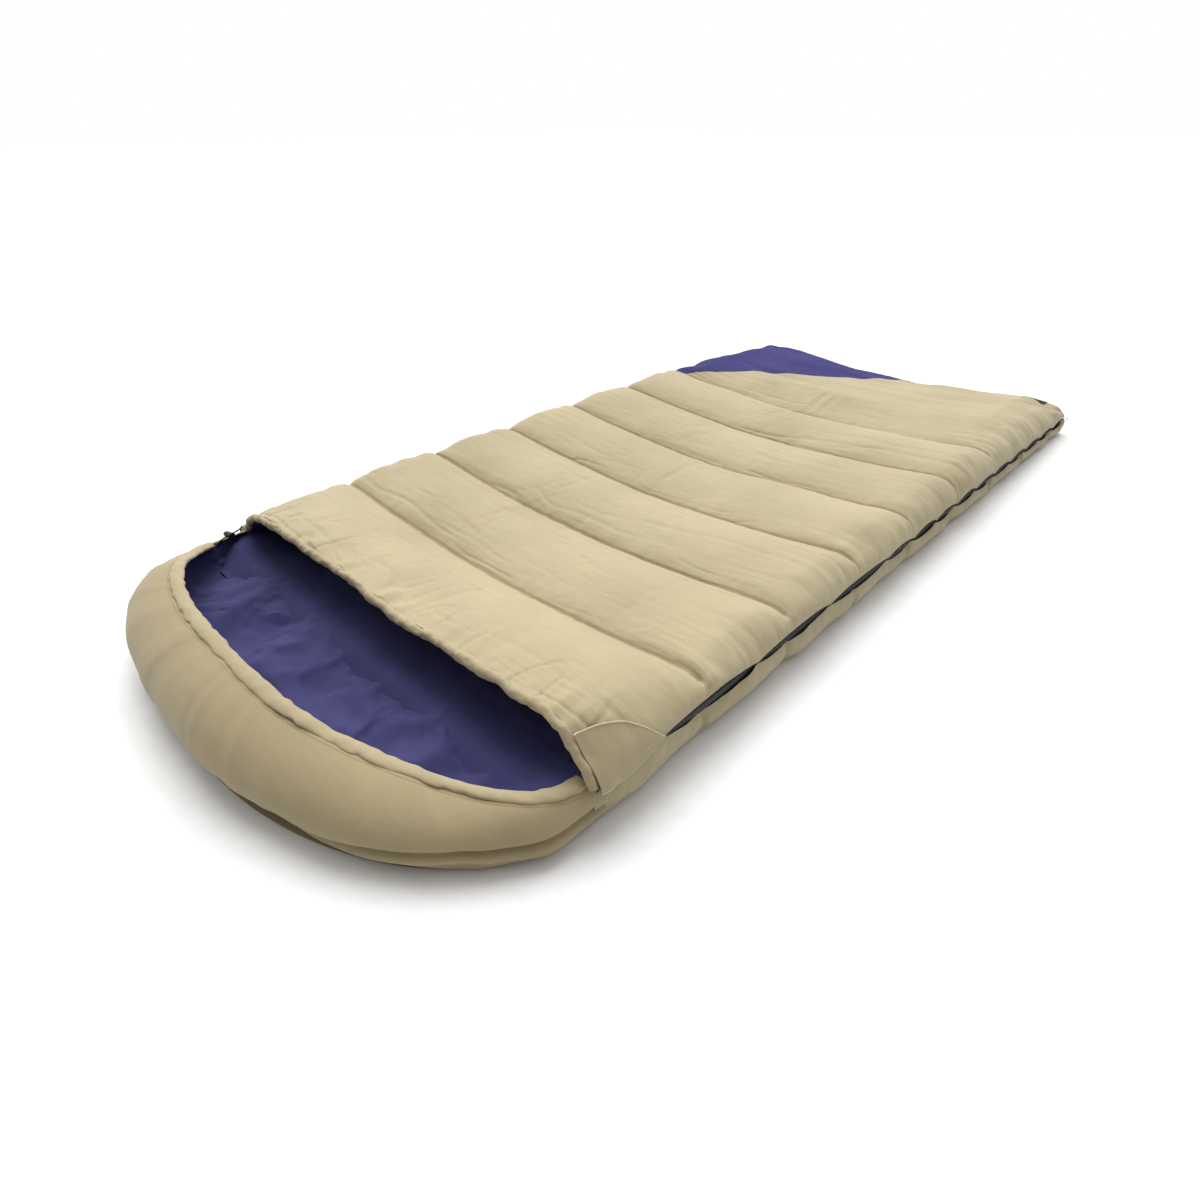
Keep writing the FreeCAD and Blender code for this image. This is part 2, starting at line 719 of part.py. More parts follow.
def cord_tube(route, radius):
    path = cord_path(route)
    direction = route[1].sub(route[0])
    profile = Part.Wire([Part.makeCircle(radius, route[0], direction)])
    tube = path.makePipeShell([profile], True, True)
    area = math.pi * radius ** 2
    print("cord volume", round(tube.Volume), "section times length", round(area * path.Length))
    print("cord length", round(path.Length, 1))
    return tube


def lock_frame():
    """Placement of the cord lock: its Y along the cord, its X away from the button."""
    start, end = at(*TAIL_ROUTE[LOCK_RUN]), at(*TAIL_ROUTE[LOCK_RUN + 1])
    along = end.sub(start).normalize()
    across = along.cross(Vector(0, 0, 1)).normalize()
    up = across.cross(along)
    centre = start.add(Vector(along).multiply(LOCK_OFFSET))
    return FreeCAD.Placement(FreeCAD.Matrix(
        across.x, along.x, up.x, centre.x,
        across.y, along.y, up.y, centre.y,
        across.z, along.z, up.z, centre.z,
        0, 0, 0, 1))


def barrel(radius, reach):
    return Part.makeCylinder(radius, reach[1] - reach[0], Vector(reach[0], 0, 0), Vector(1, 0, 0))


def cord_lock_body():
    """Barrel with a bore for the button and a cross hole for the cord."""
    body = barrel(LOCK_RADIUS, LOCK_REACH)
    rims = [edge for edge in body.Edges if edge.Closed]
    body = body.makeFillet(0.8, rims)
    body = body.cut(barrel(LOCK_BORE, (LOCK_REACH[0] - 1, LOCK_FLOOR)))
    hole = Part.makeCylinder(CORD_HOLE, 4 * LOCK_RADIUS, Vector(0, -2 * LOCK_RADIUS, 0),
                             Vector(0, 1, 0))
    return body.cut(hole)


def cord_lock_button():
    """Plunger with a slot that the cord passes through."""
    plunger = barrel(BUTTON_RADIUS, BUTTON_REACH)
    slot = box(BUTTON_SLOT, (-BUTTON_RADIUS - 1, BUTTON_RADIUS + 1),
               (-BUTTON_SLOT_HALF, BUTTON_SLOT_HALF))
    return plunger.cut(slot)


def cord_lock_spring():
    """Plain sleeve in the place of the coil spring behind the button."""
    reach = (BUTTON_REACH[1] + 0.1, LOCK_FLOOR - 0.1)
    return barrel(SPRING_RADII[1], reach).cut(barrel(SPRING_RADII[0], reach))


def tail_knot():
    """Knot at the end of the tail, drawn as a ball with the cord's end face on it."""
    start, end = at(*TAIL_ROUTE[-2]), at(*TAIL_ROUTE[-1])
    along = end.sub(start).normalize()
    depth = math.sqrt(KNOT_RADIUS ** 2 - CORD_RADIUS ** 2)
    centre = end.add(Vector(along).multiply(depth))
    ball = Part.makeSphere(KNOT_RADIUS, centre)
    trim = Part.makeCylinder(KNOT_RADIUS, KNOT_RADIUS, end, Vector(along).multiply(-1))
    return ball.cut(trim)


def build_drawcord():
    route = [at(*point) for point in TAIL_ROUTE]
    keep("drawcord_tail", cord_tube(route, CORD_RADIUS).cut(SHAPES["drawcord"]))
    keep("drawcord_knot", tail_knot())
    place = lock_frame()
    for name, shape in (("cord_lock_body", cord_lock_body()),
                        ("cord_lock_button", cord_lock_button()),
                        ("cord_lock_spring", cord_lock_spring())):
        keep(name, shape.transformGeometry(place.toMatrix()))


SHAPES = {}


def keep(name, shape):
    SHAPES[name] = shape


def build_quilts():
    shell, panel = top_shell_parts()
    keep("top_shell", shell)
    keep("foot_panel", panel)
    keep("top_fill", top_fill())
    keep("top_lining", top_lining())
    keep("top_hem", top_hem())
    keep("base_shell", base_shell())
    keep("base_fill", base_fill())
    keep("base_lining", base_lining())
    keep("draft_tube", draft_tube())
    keep("label", label())


def build_hood():
    layers = [hood_layer(number) for number in range(4)]
    for name, first in (("hood_shell", 0), ("hood_lining", 2)):
        pair = layers[first:first + 2]
        keep(name, hood_wall(*pair).fuse(hood_floor(*pair)))
    keep("hood_wall_fill", hood_wall(layers[1], layers[2]))
    keep("hood_floor_fill", hood_floor(layers[1], layers[2]))
    keep("hood_casing", hood_casing())
    keep("drawcord", drawcord())


def main():
    build_quilts()
    build_hood()
    build_zips()
    build_sliders()
    build_tab()
    build_drawcord()
    os.makedirs("parts", exist_ok=True)
    for name, shape in SHAPES.items():
        box_ = shape.BoundBox
        print(name, "valid", shape.isValid(), "solids", len(shape.Solids),
              "volume", round(shape.Volume / 1e3, 3), "cm3",
              [round(v, 1) for v in (box_.XMin, box_.XMax, box_.YMin, box_.YMax, box_.ZMin, box_.ZMax)])
        shape.exportStep("parts/" + name + ".step")


main()
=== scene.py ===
import contextlib
import math

import bmesh
import bpy
import numpy as np
from mathutils import Matrix, Vector
from mathutils.bvhtree import BVHTree


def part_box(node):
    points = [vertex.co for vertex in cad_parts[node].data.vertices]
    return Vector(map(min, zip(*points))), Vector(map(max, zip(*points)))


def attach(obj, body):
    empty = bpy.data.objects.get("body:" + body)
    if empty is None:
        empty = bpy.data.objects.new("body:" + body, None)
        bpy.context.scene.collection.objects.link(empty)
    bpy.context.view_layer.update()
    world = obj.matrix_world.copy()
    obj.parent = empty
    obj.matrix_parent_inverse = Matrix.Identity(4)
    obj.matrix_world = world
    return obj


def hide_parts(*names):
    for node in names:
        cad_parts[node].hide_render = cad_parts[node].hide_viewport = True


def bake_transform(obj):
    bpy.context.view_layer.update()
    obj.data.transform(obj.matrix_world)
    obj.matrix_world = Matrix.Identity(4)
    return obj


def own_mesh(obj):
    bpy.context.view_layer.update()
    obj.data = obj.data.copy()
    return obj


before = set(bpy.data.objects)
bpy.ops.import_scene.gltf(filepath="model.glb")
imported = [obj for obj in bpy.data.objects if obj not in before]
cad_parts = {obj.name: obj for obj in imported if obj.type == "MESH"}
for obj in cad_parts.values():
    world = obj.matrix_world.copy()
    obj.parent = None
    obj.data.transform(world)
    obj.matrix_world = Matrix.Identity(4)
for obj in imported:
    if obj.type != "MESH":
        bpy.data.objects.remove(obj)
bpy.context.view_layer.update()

# Lengths below are millimetres in the bag's own measure: x across it, s from the mouth
# towards the foot, z up. place() turns them into metres in the row frame.

MM = 0.001
LENGTH = 1930.0
HALF_WIDTH = 503.0
HOOD_REACH = 325.0
FOOT_TRIM = 5.4
CENTRE_X = -6.35
MOUTH_Y = -(LENGTH + FOOT_TRIM - HOOD_REACH) / 2
SPLIT_HEAD = 80.0
SPLIT_FOOT = 38.0
ZIP_X = 497.0
CHANNEL = 226.0
ROWS_PER_CHANNEL = 30
SEAM_CROWDING = 0.55       # how much closer the mesh's rows lie at a seam


def place(points):
    """Points of the bag's own measure as metres in the row frame."""
    placed = np.array(points, float)
    placed[..., 0] += CENTRE_X
    placed[..., 1] += MOUTH_Y
    return placed * MM


def split(s):
    """Height of the zip line."""
    return SPLIT_HEAD + (SPLIT_FOOT - SPLIT_HEAD) * np.asarray(s, float) / LENGTH


def smooth(low, high, value):
    """0 up to low, 1 from high on, and an even curve between them."""
    share = np.clip((np.asarray(value, float) - low) / (high - low), 0, 1)
    return share * share * (3 - 2 * share)


def spots(x, s, z):
    """Array of points from their three measures, each a number or an array."""
    return np.stack(np.broadcast_arrays(x, s, z), axis=-1)


def unit(vectors):
    return vectors / np.maximum(np.linalg.norm(vectors, axis=-1, keepdims=True), 1e-9)


def add_object(name, data):
    obj = bpy.data.objects.new(name, data)
    bpy.context.scene.collection.objects.link(obj)
    return obj


# Camera

CAMERA_PLACE = (0.92675, -1.2468, 0.7844)
CAMERA_YAW = 44.008
CAMERA_PITCH = 34.16
CAMERA_ROLL = -0.485
CAMERA_LENS = 21.67


def build_camera():
    data = bpy.data.cameras.new("camera")
    data.lens = CAMERA_LENS
    data.sensor_width = 36.0
    data.clip_start = 0.05
    camera = add_object("camera", data)
    turn = Matrix.Rotation(math.radians(CAMERA_YAW), 4, "Z")
    turn @= Matrix.Rotation(math.radians(90 - CAMERA_PITCH), 4, "X")
    turn @= Matrix.Rotation(math.radians(CAMERA_ROLL), 4, "Z")
    camera.matrix_world = Matrix.Translation(CAMERA_PLACE) @ turn
    bpy.context.scene.camera = camera


build_camera()


# Noise

LATTICE = 32


def lattice_noise(points, size, seed):
    """Smooth noise from -1 to 1 at each point, with features of about the given size."""
    table = np.random.default_rng(seed).uniform(-1, 1, (LATTICE,) * 3)
    scaled = np.asarray(points, float) / size
    cell = np.floor(scaled).astype(int)
    part = scaled - cell
    part = part * part * (3 - 2 * part)
    total = np.zeros(scaled.shape[:-1])
    for corner in range(8):
        step = np.array([corner & 1, corner >> 1 & 1, corner >> 2 & 1])
        weight = np.prod(np.where(step, part, 1 - part), axis=-1)
        spot = (cell + step) % LATTICE
        total += weight * table[spot[..., 0], spot[..., 1], spot[..., 2]]
    return total


def line_noise(run, size, seed):
    """Noise along a line, given the distance along it."""
    return lattice_noise(spots(run, 0, 0), size, seed)


# Meshes

def mesh_object(name, points, faces, material):
    """Object with a new mesh. Its points are in metres in the row frame."""
    mesh = bpy.data.meshes.new(name)
    mesh.from_pydata(points, [], faces)
    mesh.materials.append(material)
    return add_object(name, mesh)


def grid_object(name, points, material, close_across=False):
    """Mesh over a grid of points, an array of rows of points in the bag's own measure."""
    rows, columns = points.shape[:2]
    index = np.arange(rows * columns).reshape(rows, columns)
    if close_across:
        index = np.concatenate([index, index[:, :1]], axis=1)
    corners = [index[:-1, :-1], index[:-1, 1:], index[1:, 1:], index[1:, :-1]]
    faces = np.stack(corners, axis=-1).reshape(-1, 4)
    obj = mesh_object(name, place(points).reshape(-1, 3).tolist(), faces.tolist(), material)
    shade_smooth(obj)
    return obj


@contextlib.contextmanager
def editing(obj):
    """Opens an object's mesh for bmesh, and puts the result back."""
    shape = bmesh.new()
    shape.from_mesh(obj.data)
    yield shape
    shape.to_mesh(obj.data)
    shape.free()


def shade_smooth(obj, smoothed=True):
    obj.data.polygons.foreach_set("use_smooth", [smoothed] * len(obj.data.polygons))
    obj.data.update()


def vertex_array(mesh):
    flat = np.zeros(len(mesh.vertices) * 3)
    mesh.vertices.foreach_get("co", flat)
    return flat.reshape(-1, 3)


def set_vertices(mesh, array):
    mesh.vertices.foreach_set("co", array.astype(np.float32).ravel())
    mesh.update()


def normal_array(mesh):
    flat = np.zeros(len(mesh.vertices) * 3, np.float32)
    mesh.vertex_normals.foreach_get("vector", flat)
    return flat.reshape(-1, 3).astype(float)


def displace(obj, distance):
    """Moves each vertex along its normal by a distance in millimetres."""
    mesh = obj.data
    set_vertices(mesh, vertex_array(mesh) + normal_array(mesh) * distance[:, None] * MM)


def apply_modifiers(obj):
    """Replaces the object's mesh by the one its modifiers make."""
    graph = bpy.context.evaluated_depsgraph_get()
    made = bpy.data.meshes.new_from_object(obj.evaluated_get(graph))
    obj.modifiers.clear()
    obj.data = made


def subdivide(obj):
    modifier = obj.modifiers.new("smooth", "SUBSURF")
    modifier.levels = modifier.render_levels = 1
    apply_modifiers(obj)
    shade_smooth(obj)


def thicken(obj, thickness):
    modifier = obj.modifiers.new("thick", "SOLIDIFY")
    modifier.thickness = thickness * MM
    modifier.offset = 0.0
    apply_modifiers(obj)


def own_measure(obj):
    """The object's vertices in the bag's own measure."""
    points = vertex_array(obj.data) / MM
    points[:, 0] -= CENTRE_X
    points[:, 1] -= MOUTH_Y
    return points


# Tubes

RIGHT = np.array([1.0, 0.0, 0.0])
AHEAD = np.array([0.0, 1.0, 0.0])
UP = np.array([0.0, 0.0, 1.0])


def ring_turn(sides):
    return np.linspace(0, 2 * math.pi, sides, endpoint=False)


def tube_grid(path, outward, along, radii, puckers, sides):
    """Rings round a path. outward and along are their two directions, radii their half sizes."""
    turn = ring_turn(sides)
    outward, along = (np.broadcast_to(way, path.shape)[:, None] for way in (outward, along))
    ring = np.cos(turn)[None, :, None] * outward * radii[0]
    ring = ring + np.sin(turn)[None, :, None] * along * radii[1]
    return path[:, None] + ring * (1 + np.broadcast_to(puckers, (len(path), sides)))[..., None]


def tube_object(name, path, outward, along, radii, material, puckers=0.0, sides=16):
    """Tube round a path, closed at both ends. A puckered one is smoothed too."""
    obj = grid_object(name, tube_grid(path, outward, along, radii, puckers, sides), material,
                      close_across=True)
    cap_ends(obj, len(path), sides)
    if np.any(puckers):
        subdivide(obj)
    return obj


def cap_ends(obj, rows, columns):
    """Closes both ends of a tube made by grid_object."""
    last = (rows - 1) * columns
    with editing(obj) as shape:
        shape.verts.ensure_lookup_table()
        shape.faces.new([shape.verts[i] for i in range(columns)])
        shape.faces.new([shape.verts[last + i] for i in range(columns)][::-1])


def ring_noise(run, sides, size, seed):
    """Noise over a tube, given the distance along it."""
    turn = ring_turn(sides)
    return lattice_noise(spots(run[:, None], 12 * np.cos(turn), 12 * np.sin(turn)), size, seed)


def path_run(path):
    """Distance along a path at each of its points."""
    steps = np.linalg.norm(np.diff(path, axis=0), axis=1)
    return np.concatenate([[0], np.cumsum(steps)])


# Cloth simulation

FRAMES = 20
CLOTH = {
    "quality": 4, "mass": 0.15, "tension_stiffness": 40, "compression_stiffness": 15,
    "shear_stiffness": 5, "tension_damping": 10, "compression_damping": 10, "air_damping": 3,
    "use_pressure": True, "vertex_group_mass": "held",
}


def inflate(obj, held, pressure, growth, cap, bending=0.4):
    """Blows the cloth out between the held vertices. growth is how much larger the cloth is cut
    than its frame, cap the furthest each point may move, in millimetres."""
    start = vertex_array(obj.data)
    group = obj.vertex_groups.new(name="held")
    group.add([int(i) for i in np.flatnonzero(held)], 1.0, "REPLACE")
    modifier = obj.modifiers.new("cloth", "CLOTH")
    settings = modifier.settings
    for setting, value in CLOTH.items():
        setattr(settings, setting, value)
    settings.bending_stiffness = bending
    settings.shrink_min = -growth
    settings.uniform_pressure_force = pressure
    settings.effector_weights.gravity = 0
    modifier.point_cache.frame_start = 1
    modifier.point_cache.frame_end = FRAMES
    for number in range(1, FRAMES + 1):
        bpy.context.scene.frame_set(number)
    apply_modifiers(obj)
    obj.vertex_groups.clear()
    moved = vertex_array(obj.data) - start
    distance = np.linalg.norm(moved, axis=1)
    scale = np.minimum(1, cap * MM / np.maximum(distance, 1e-9))
    set_vertices(obj.data, start + moved * scale[:, None])
    shade_smooth(obj)
    bpy.context.scene.frame_set(1)


# Materials

def rgb(red, green, blue):
    """Linear colour from sRGB shares of 255."""
    def linear(value):
        share = value / 255
        return share / 12.92 if share <= 0.04045 else ((share + 0.055) / 1.055) ** 2.4
    return (linear(red), linear(green), linear(blue), 1.0)


class Nodes:
    """Short way to build a node material. Inputs are plain values or other nodes' outputs."""

    def __init__(self, name):
        self.material = bpy.data.materials.new(name)
        self.material.use_nodes = True
        self.tree = self.material.node_tree
        self.shader = self.tree.nodes["Principled BSDF"]
        self.place = self.add("ShaderNodeTexCoord", {}).outputs["Object"]

    def put(self, node, inputs):
        for key, value in inputs.items():
            if isinstance(value, bpy.types.NodeSocket):
                self.tree.links.new(value, node.inputs[key])
            else:
                node.inputs[key].default_value = value

    def add(self, kind, inputs, **settings):
        node = self.tree.nodes.new(kind)
        for key, value in settings.items():
            setattr(node, key, value)
        self.put(node, inputs)
        return node

    def noise(self, scale, detail=3.0, stretch=(1, 1, 1)):
        mapping = self.add("ShaderNodeMapping", {"Vector": self.place, "Scale": stretch})
        inputs = {"Vector": mapping.outputs["Vector"], "Scale": scale, "Detail": detail}
        return self.add("ShaderNodeTexNoise", inputs).outputs["Fac"]

    def wave(self, scale, direction, distortion=0.4):
        inputs = {"Vector": self.place, "Scale": scale, "Distortion": distortion, "Detail": 1.0}
        return self.add("ShaderNodeTexWave", inputs, bands_direction=direction).outputs["Fac"]

    def ramp(self, source, low, high, start=0.3, end=0.7):
        node = self.add("ShaderNodeValToRGB", {"Fac": source})
        first, last = node.color_ramp.elements
        first.position, last.position = start, end
        first.color, last.color = low, high
        return node.outputs["Color"]

    def product(self, first, second):
        return self.add("ShaderNodeMath", {0: first, 1: second}, operation="MULTIPLY").outputs["Value"]

    def tint(self, first, second):
        """Multiplies two colours."""
        inputs = {"Factor": 1.0, 6: first, 7: second}
        return self.add("ShaderNodeMix", inputs, data_type="RGBA", blend_type="MULTIPLY").outputs[2]

    def bump(self, height, strength, distance, **below):
        inputs = {"Height": height, "Strength": strength, "Distance": distance, **below}
        return self.add("ShaderNodeBump", inputs).outputs["Normal"]

    def surface(self, color, normal, grain, rough, more):
        """Connects the shader. The grain sets its roughness, between the two values of rough."""
        inputs = {"Value": grain, "To Min": rough[0], "To Max": rough[1]}
        uneven = self.add("ShaderNodeMapRange", inputs).outputs["Result"]
        self.put(self.shader, {"Base Color": color, "Normal": normal, "Roughness": uneven, **more})
        return self.material


WEAVE_SCALE = 420.0


def cloth_material(name, dark, light, sheen=0.15, crease=0.35, weave=0.25, rough=(0.72, 0.9), gloss=0.25):
    """Plain-woven cloth: fine crossing threads, soft creases and uneven colour."""
    nodes = Nodes(name)
    fibres = nodes.noise(900.0, 2.0)
    broad = nodes.ramp(nodes.noise(6.0, 4.0), dark, light)
    fine = nodes.ramp(fibres, (0.86, 0.86, 0.86, 1), (1, 1, 1, 1))
    threads = nodes.product(nodes.wave(WEAVE_SCALE, "X"), nodes.wave(WEAVE_SCALE, "Y"))
    soft = nodes.bump(nodes.noise(28.0, 5.0, stretch=(0.45, 1.6, 1.0)), crease, 0.006)
    normal = nodes.bump(threads, weave, 0.0004, Normal=soft)
    return nodes.surface(nodes.tint(broad, fine), normal, fibres, rough,
                         {"Sheen Weight": sheen, "Sheen Roughness": 0.5, "Specular IOR Level": gloss})


TAN = cloth_material("shell_cloth", rgb(171, 158, 125), rgb(183, 170, 136), crease=0.45)
# Darker copy of the shell cloth for the hood's wall and underside: painted shade, the same fabric made
# darker where the hood's wall lies in shade.
TAN_HOOD_PAINTED_SHADE = cloth_material("hood_cloth", rgb(157, 142, 108), rgb(168, 153, 119), crease=0.18)
TAN_SMOOTH = cloth_material("trim_cloth", rgb(165, 151, 118), rgb(177, 163, 130), crease=0.3)
NAVY = cloth_material("lining_cloth", rgb(60, 59, 101), rgb(70, 69, 115), crease=0.3, sheen=0.04, gloss=0.12)
PANEL = cloth_material("panel_cloth", rgb(62, 60, 108), rgb(70, 68, 120), crease=0.25, sheen=0.0, gloss=0.05)
TAPE = cloth_material("tape_cloth", rgb(22, 22, 28), rgb(30, 30, 36), weave=0.5, crease=0.1)


# Top quilt

SEAM_POWER = 26.0           # how squarely the top quilt rounds down at its sides
TOP_PITCH = 7.0             # distance between the mesh's columns
AROUND = 1180.0             # about the length of a quilt's cloth across the bag
CUSP_S = 130.0              # where the quilts' edges first meet over the zip
WIDE_CUSPS = 3              # after so many channels the cusps lie twice as close
FOLD_X = 497.5              # the cloth's reach on the left, where the bag is folded
FOOT_POWER = 150.0          # how tightly the bag rounds over at the foot
CORNER = 70.0               # radius of its left corner at the foot
PUFF = 15.0                 # height of a channel's puff before the simulation
PANEL_LEFT_S = 1290.0       # the panel's seam: where it starts at the left side
PANEL_RIGHT_X = 235.0       # and where it ends at the foot


def channel_wave(s):
    """0 on a channel seam, 1 in the middle of a channel."""
    return np.abs(np.sin(np.pi * np.asarray(s, float) / CHANNEL)) ** 0.6


def scallop(s):
    """How far the quilts' edges part over the zip. They meet in cusps, closer together at the foot."""
    past = np.asarray(s, float) - CUSP_S
    return np.where(past < WIDE_CUSPS * CHANNEL, channel_wave(past), channel_wave(2 * past))


def wide_part(s):
    """The stretch past the closure tab where the edges part furthest."""
    return smooth(125, 200, s) * (1 - smooth(310, 380, s))


def edge_noise(s, seed):
    return lattice_noise(spots(0, s, 0), 45.0, seed)


def upper_gap(s):
    """From the zip line up to the edge of the top quilt's cloth."""
    return 3.0 + 11.0 * scallop(s) + 1.5 * edge_noise(s, 11)


def lower_gap(s):
    """From the zip line down to the edge of the base quilt's cloth."""
    return 3.5 + 12.0 * scallop(s) + 4.0 * wide_part(s) + 1.5 * edge_noise(s, 12)


def corner_in(s):
    """How far the rounded left corner at the foot draws the side in."""
    share = np.clip((s - (LENGTH - CORNER)) / CORNER, 0, 0.999)
    return CORNER * (1 - math.sqrt(1 - share ** 2))


def taper(s):
    """0 over most of the bag, rising to 1 at the foot, where its filling is thinner."""
    return smooth(1100.0, LENGTH, s)


def crown(u, s):
    """Height of the top quilt along its seams, before its sides round down."""
    body = 84.0 - 14.0 * taper(s) - 10.0 * smooth(1450.0, LENGTH, s)
    return body + (38.0 - 12.0 * taper(s)) * np.abs(u) ** 1.7


def foot_close(s, length, power):
    """1 along the bag, falling to 0 where a sheet closes at its foot end."""
    return math.sqrt(max(0.0, 1 - (max(s, 0.0) / length) ** power))


# Points (x, height) of the top quilt's edge at the mouth.
MOUTH_LINE = [
    (-503, 84), (-488, 92), (-462, 118), (-430, 138), (-386, 149), (-237, 150), (-64, 153),
    (0, 146), (77, 141), (172, 149), (320, 158), (415, 161), (448, 152), (470, 130),
    (490, 107), (503, 84),
]


def mouth_height(x):
    """Height of the top quilt's edge at the mouth."""
    known_x, known_z = zip(*MOUTH_LINE)
    return np.interp(x, known_x, known_z)


def top_height(x, s):
    """Height of the top quilt's cloth where it is held down by its seams."""
    u = np.clip(np.asarray(x, float) / HALF_WIDTH, -1, 1)
    s = np.asarray(s, float)
    seat = split(s) + upper_gap(s) * smooth(-0.95, -0.5, u)
    body = seat + (crown(u, s) - seat) * np.sqrt(1 - np.abs(u) ** SEAM_POWER)
    mouth = np.clip(1 - s / 215.0, 0, 1) ** 1.3
    foot = np.sqrt(np.clip(1 - (np.clip(s, 0, LENGTH) / LENGTH) ** FOOT_POWER, 0, 1))
    height = body * (1 - mouth) + mouth_height(x) * mouth
    return seat + (height - seat) * foot


def eased_across(count):
    """Shares from -1 to 1, closer together at both ends."""
    return np.sin(np.linspace(-math.pi / 2, math.pi / 2, count))


def even_run(x, z, count):
    """Points spaced evenly along a line."""
    run = np.concatenate([[0], np.cumsum(np.hypot(np.diff(x), np.diff(z)))])
    even = np.linspace(0, run[-1], count)
    return np.interp(even, run, x), np.interp(even, run, z)


def top_section(s, count):
    """Points across the top quilt at s, evenly spaced along the cloth."""
    u = eased_across(800)
    z = top_height(HALF_WIDTH * u, np.full(u.shape, s))
    x = np.where(u < 0, FOLD_X, HALF_WIDTH) * u + corner_in(s) * smooth(0, -1, u)
    return even_run(x, z, count)


NEAR_FOOT = 32.0            # the regular rows end this far from the foot
FOOT_ROWS = LENGTH - np.array([28.0, 21.0, 15.0, 10.0, 6.0, 3.0, 1.0, 0.0])


def channel_rows():
    """Places of the mesh's rows along the bag, closer together at each channel seam."""
    share = np.arange(9 * ROWS_PER_CHANNEL) / ROWS_PER_CHANNEL
    rows = CHANNEL * (share - SEAM_CROWDING / (2 * math.pi) * np.sin(2 * math.pi * share))
    return np.append(rows[rows < LENGTH - NEAR_FOOT], FOOT_ROWS)


def even_rows(step):
    """Places of a mesh's rows along the bag, the same distance apart up to the foot."""
    return np.append(np.arange(0.0, LENGTH - NEAR_FOOT, step), FOOT_ROWS)


def section_grid(rows, count, section):
    """Points of a sheet, from its cross-section at each row."""
    grid = []
    for s in rows:
        x, z = section(s, count)
        grid.append(spots(x, s, z))
    return np.array(grid)


def border(points):
    """True for the points on the edges of a grid."""
    held = np.zeros(points.shape[:2], bool)
    held[0] = held[-1] = held[:, 0] = held[:, -1] = True
    return held


def gathers(points):
    """Small folds: along the channels, and across the edges at the mouth and the zip."""
    x, s = points[..., 0], points[..., 1]
    edge = smooth(380, 490, np.abs(x))
    hem = 1 - smooth(10, 90, s)
    long_folds = lattice_noise(points * (0.14, 1, 0.14), 30.0, 21)
    short_folds = lattice_noise(points * (0.3, 1, 0.3), 15.0, 22)
    hem_folds = lattice_noise(points * (1, 0.2, 0.3), 20.0, 23)
    slack = lattice_noise(points * (0.35, 1, 0.35), 75.0, 24)
    calm = 1 - 0.6 * smooth(900, 1500, s)
    return 4.2 * long_folds + 2.2 * short_folds * edge * calm + 3.5 * hem_folds * hem + 4.0 * slack


# Each channel seam's number, and how far it runs across the bag.
SEAMS = [(number, -HALF_WIDTH, HALF_WIDTH) for number in range(1, 6)] + [(6, -440, HALF_WIDTH)]


def creases(points, size, stretch, width, seed):
    """Lines that wander over the cloth: 1 on a line, 0 beside it."""
    bend = lattice_noise(points, 3.0 * size, seed + 100)
    lines = lattice_noise(points * stretch + 0.3 * size * bend[..., None], size, seed)
    return np.clip(1 - np.abs(lines) / width, 0, 1) ** 1.5


def long_creases(points, pitch, width, seed):
    """Broken lines that run along the channels: 1 on a line, 0 beside it."""
    wander = lattice_noise(points * (0.3, 1, 0.3), 110.0, seed) * 38.0
    wander += lattice_noise(points * (0.4, 1, 0.4), 40.0, seed + 1) * 11.0
    phase = (points[:, 1] + wander) / pitch
    line = np.clip(1 - np.abs(phase - np.round(phase)) * pitch / width, 0, 1)
    shown = smooth(0.05, 0.45, lattice_noise(points * (0.3, 1, 0.3), 1.4 * pitch, seed + 2))
    return line ** 1.5 * shown


def wrinkles(points):
    """Fine creases of the top quilt, mostly along its channels, and puckers at its seams."""
    s = points[:, 1]
    long_lines = long_creases(points, 43.0, 7.0, 28) + long_creases(points, 31.0, 5.0, 41)
    short_lines = long_creases(points, 17.0, 3.5, 35)
    near_seam = np.exp(-(seam_distance(s) / 26.0) ** 2) * smooth(100, 160, s)
    puckers = lattice_noise(points * (1, 0.3, 0.4), 17.0, 30)
    mouth = 1 - smooth(30, 150, s)
    mouth_lines = creases(points, 40.0, (1, 0.3, 0.3), 0.16, 33)
    plain = 1 - 0.6 * smooth(1400, 1600, s)
    return plain * (-2.3 * long_lines - 1.0 * short_lines + 1.0 * puckers * near_seam
                    - 3.0 * mouth_lines * mouth)


def puff_channels(points, free):
    """Rounds each channel up, and its ends out over the zip."""
    x, s = points[..., 0].copy(), points[..., 1]
    last_seam = SEAMS[-1][0] * CHANNEL
    share = (s - last_seam) / (LENGTH - last_seam)
    end_puff = 0.75 * np.clip(np.sin(np.pi * np.clip(share, 0, 1)), 0, 1) ** 0.5
    puff = PUFF * free * np.where(s < last_seam, channel_wave(s), end_puff)
    side = smooth(455, 500, np.abs(x))
    points[..., 0] += 0.4 * puff * side * (x > 0)
    points[..., 2] += puff * (1 - side)


def build_top_cloth():
    rows = channel_rows()
    points = section_grid(rows, int(AROUND / TOP_PITCH), top_section)
    held = border(points)
    for number, left, right in SEAMS:
        row = number * ROWS_PER_CHANNEL
        held[row] |= (points[row, :, 0] > left) & (points[row, :, 0] < right)
    points[..., 2] += gathers(points) * ~held
    puff_channels(points, ~held)
    obj = grid_object("top_quilt_cloth", points, TAN)
    inflate(obj, held.ravel(), pressure=3.0, growth=0.001, cap=20.0)
    subdivide(obj)
    displace(obj, wrinkles(own_measure(obj)))
    return obj


def seam_distance(s):
    """Distance to the nearest channel seam."""
    return np.abs((np.asarray(s) + CHANNEL / 2) % CHANNEL - CHANNEL / 2)


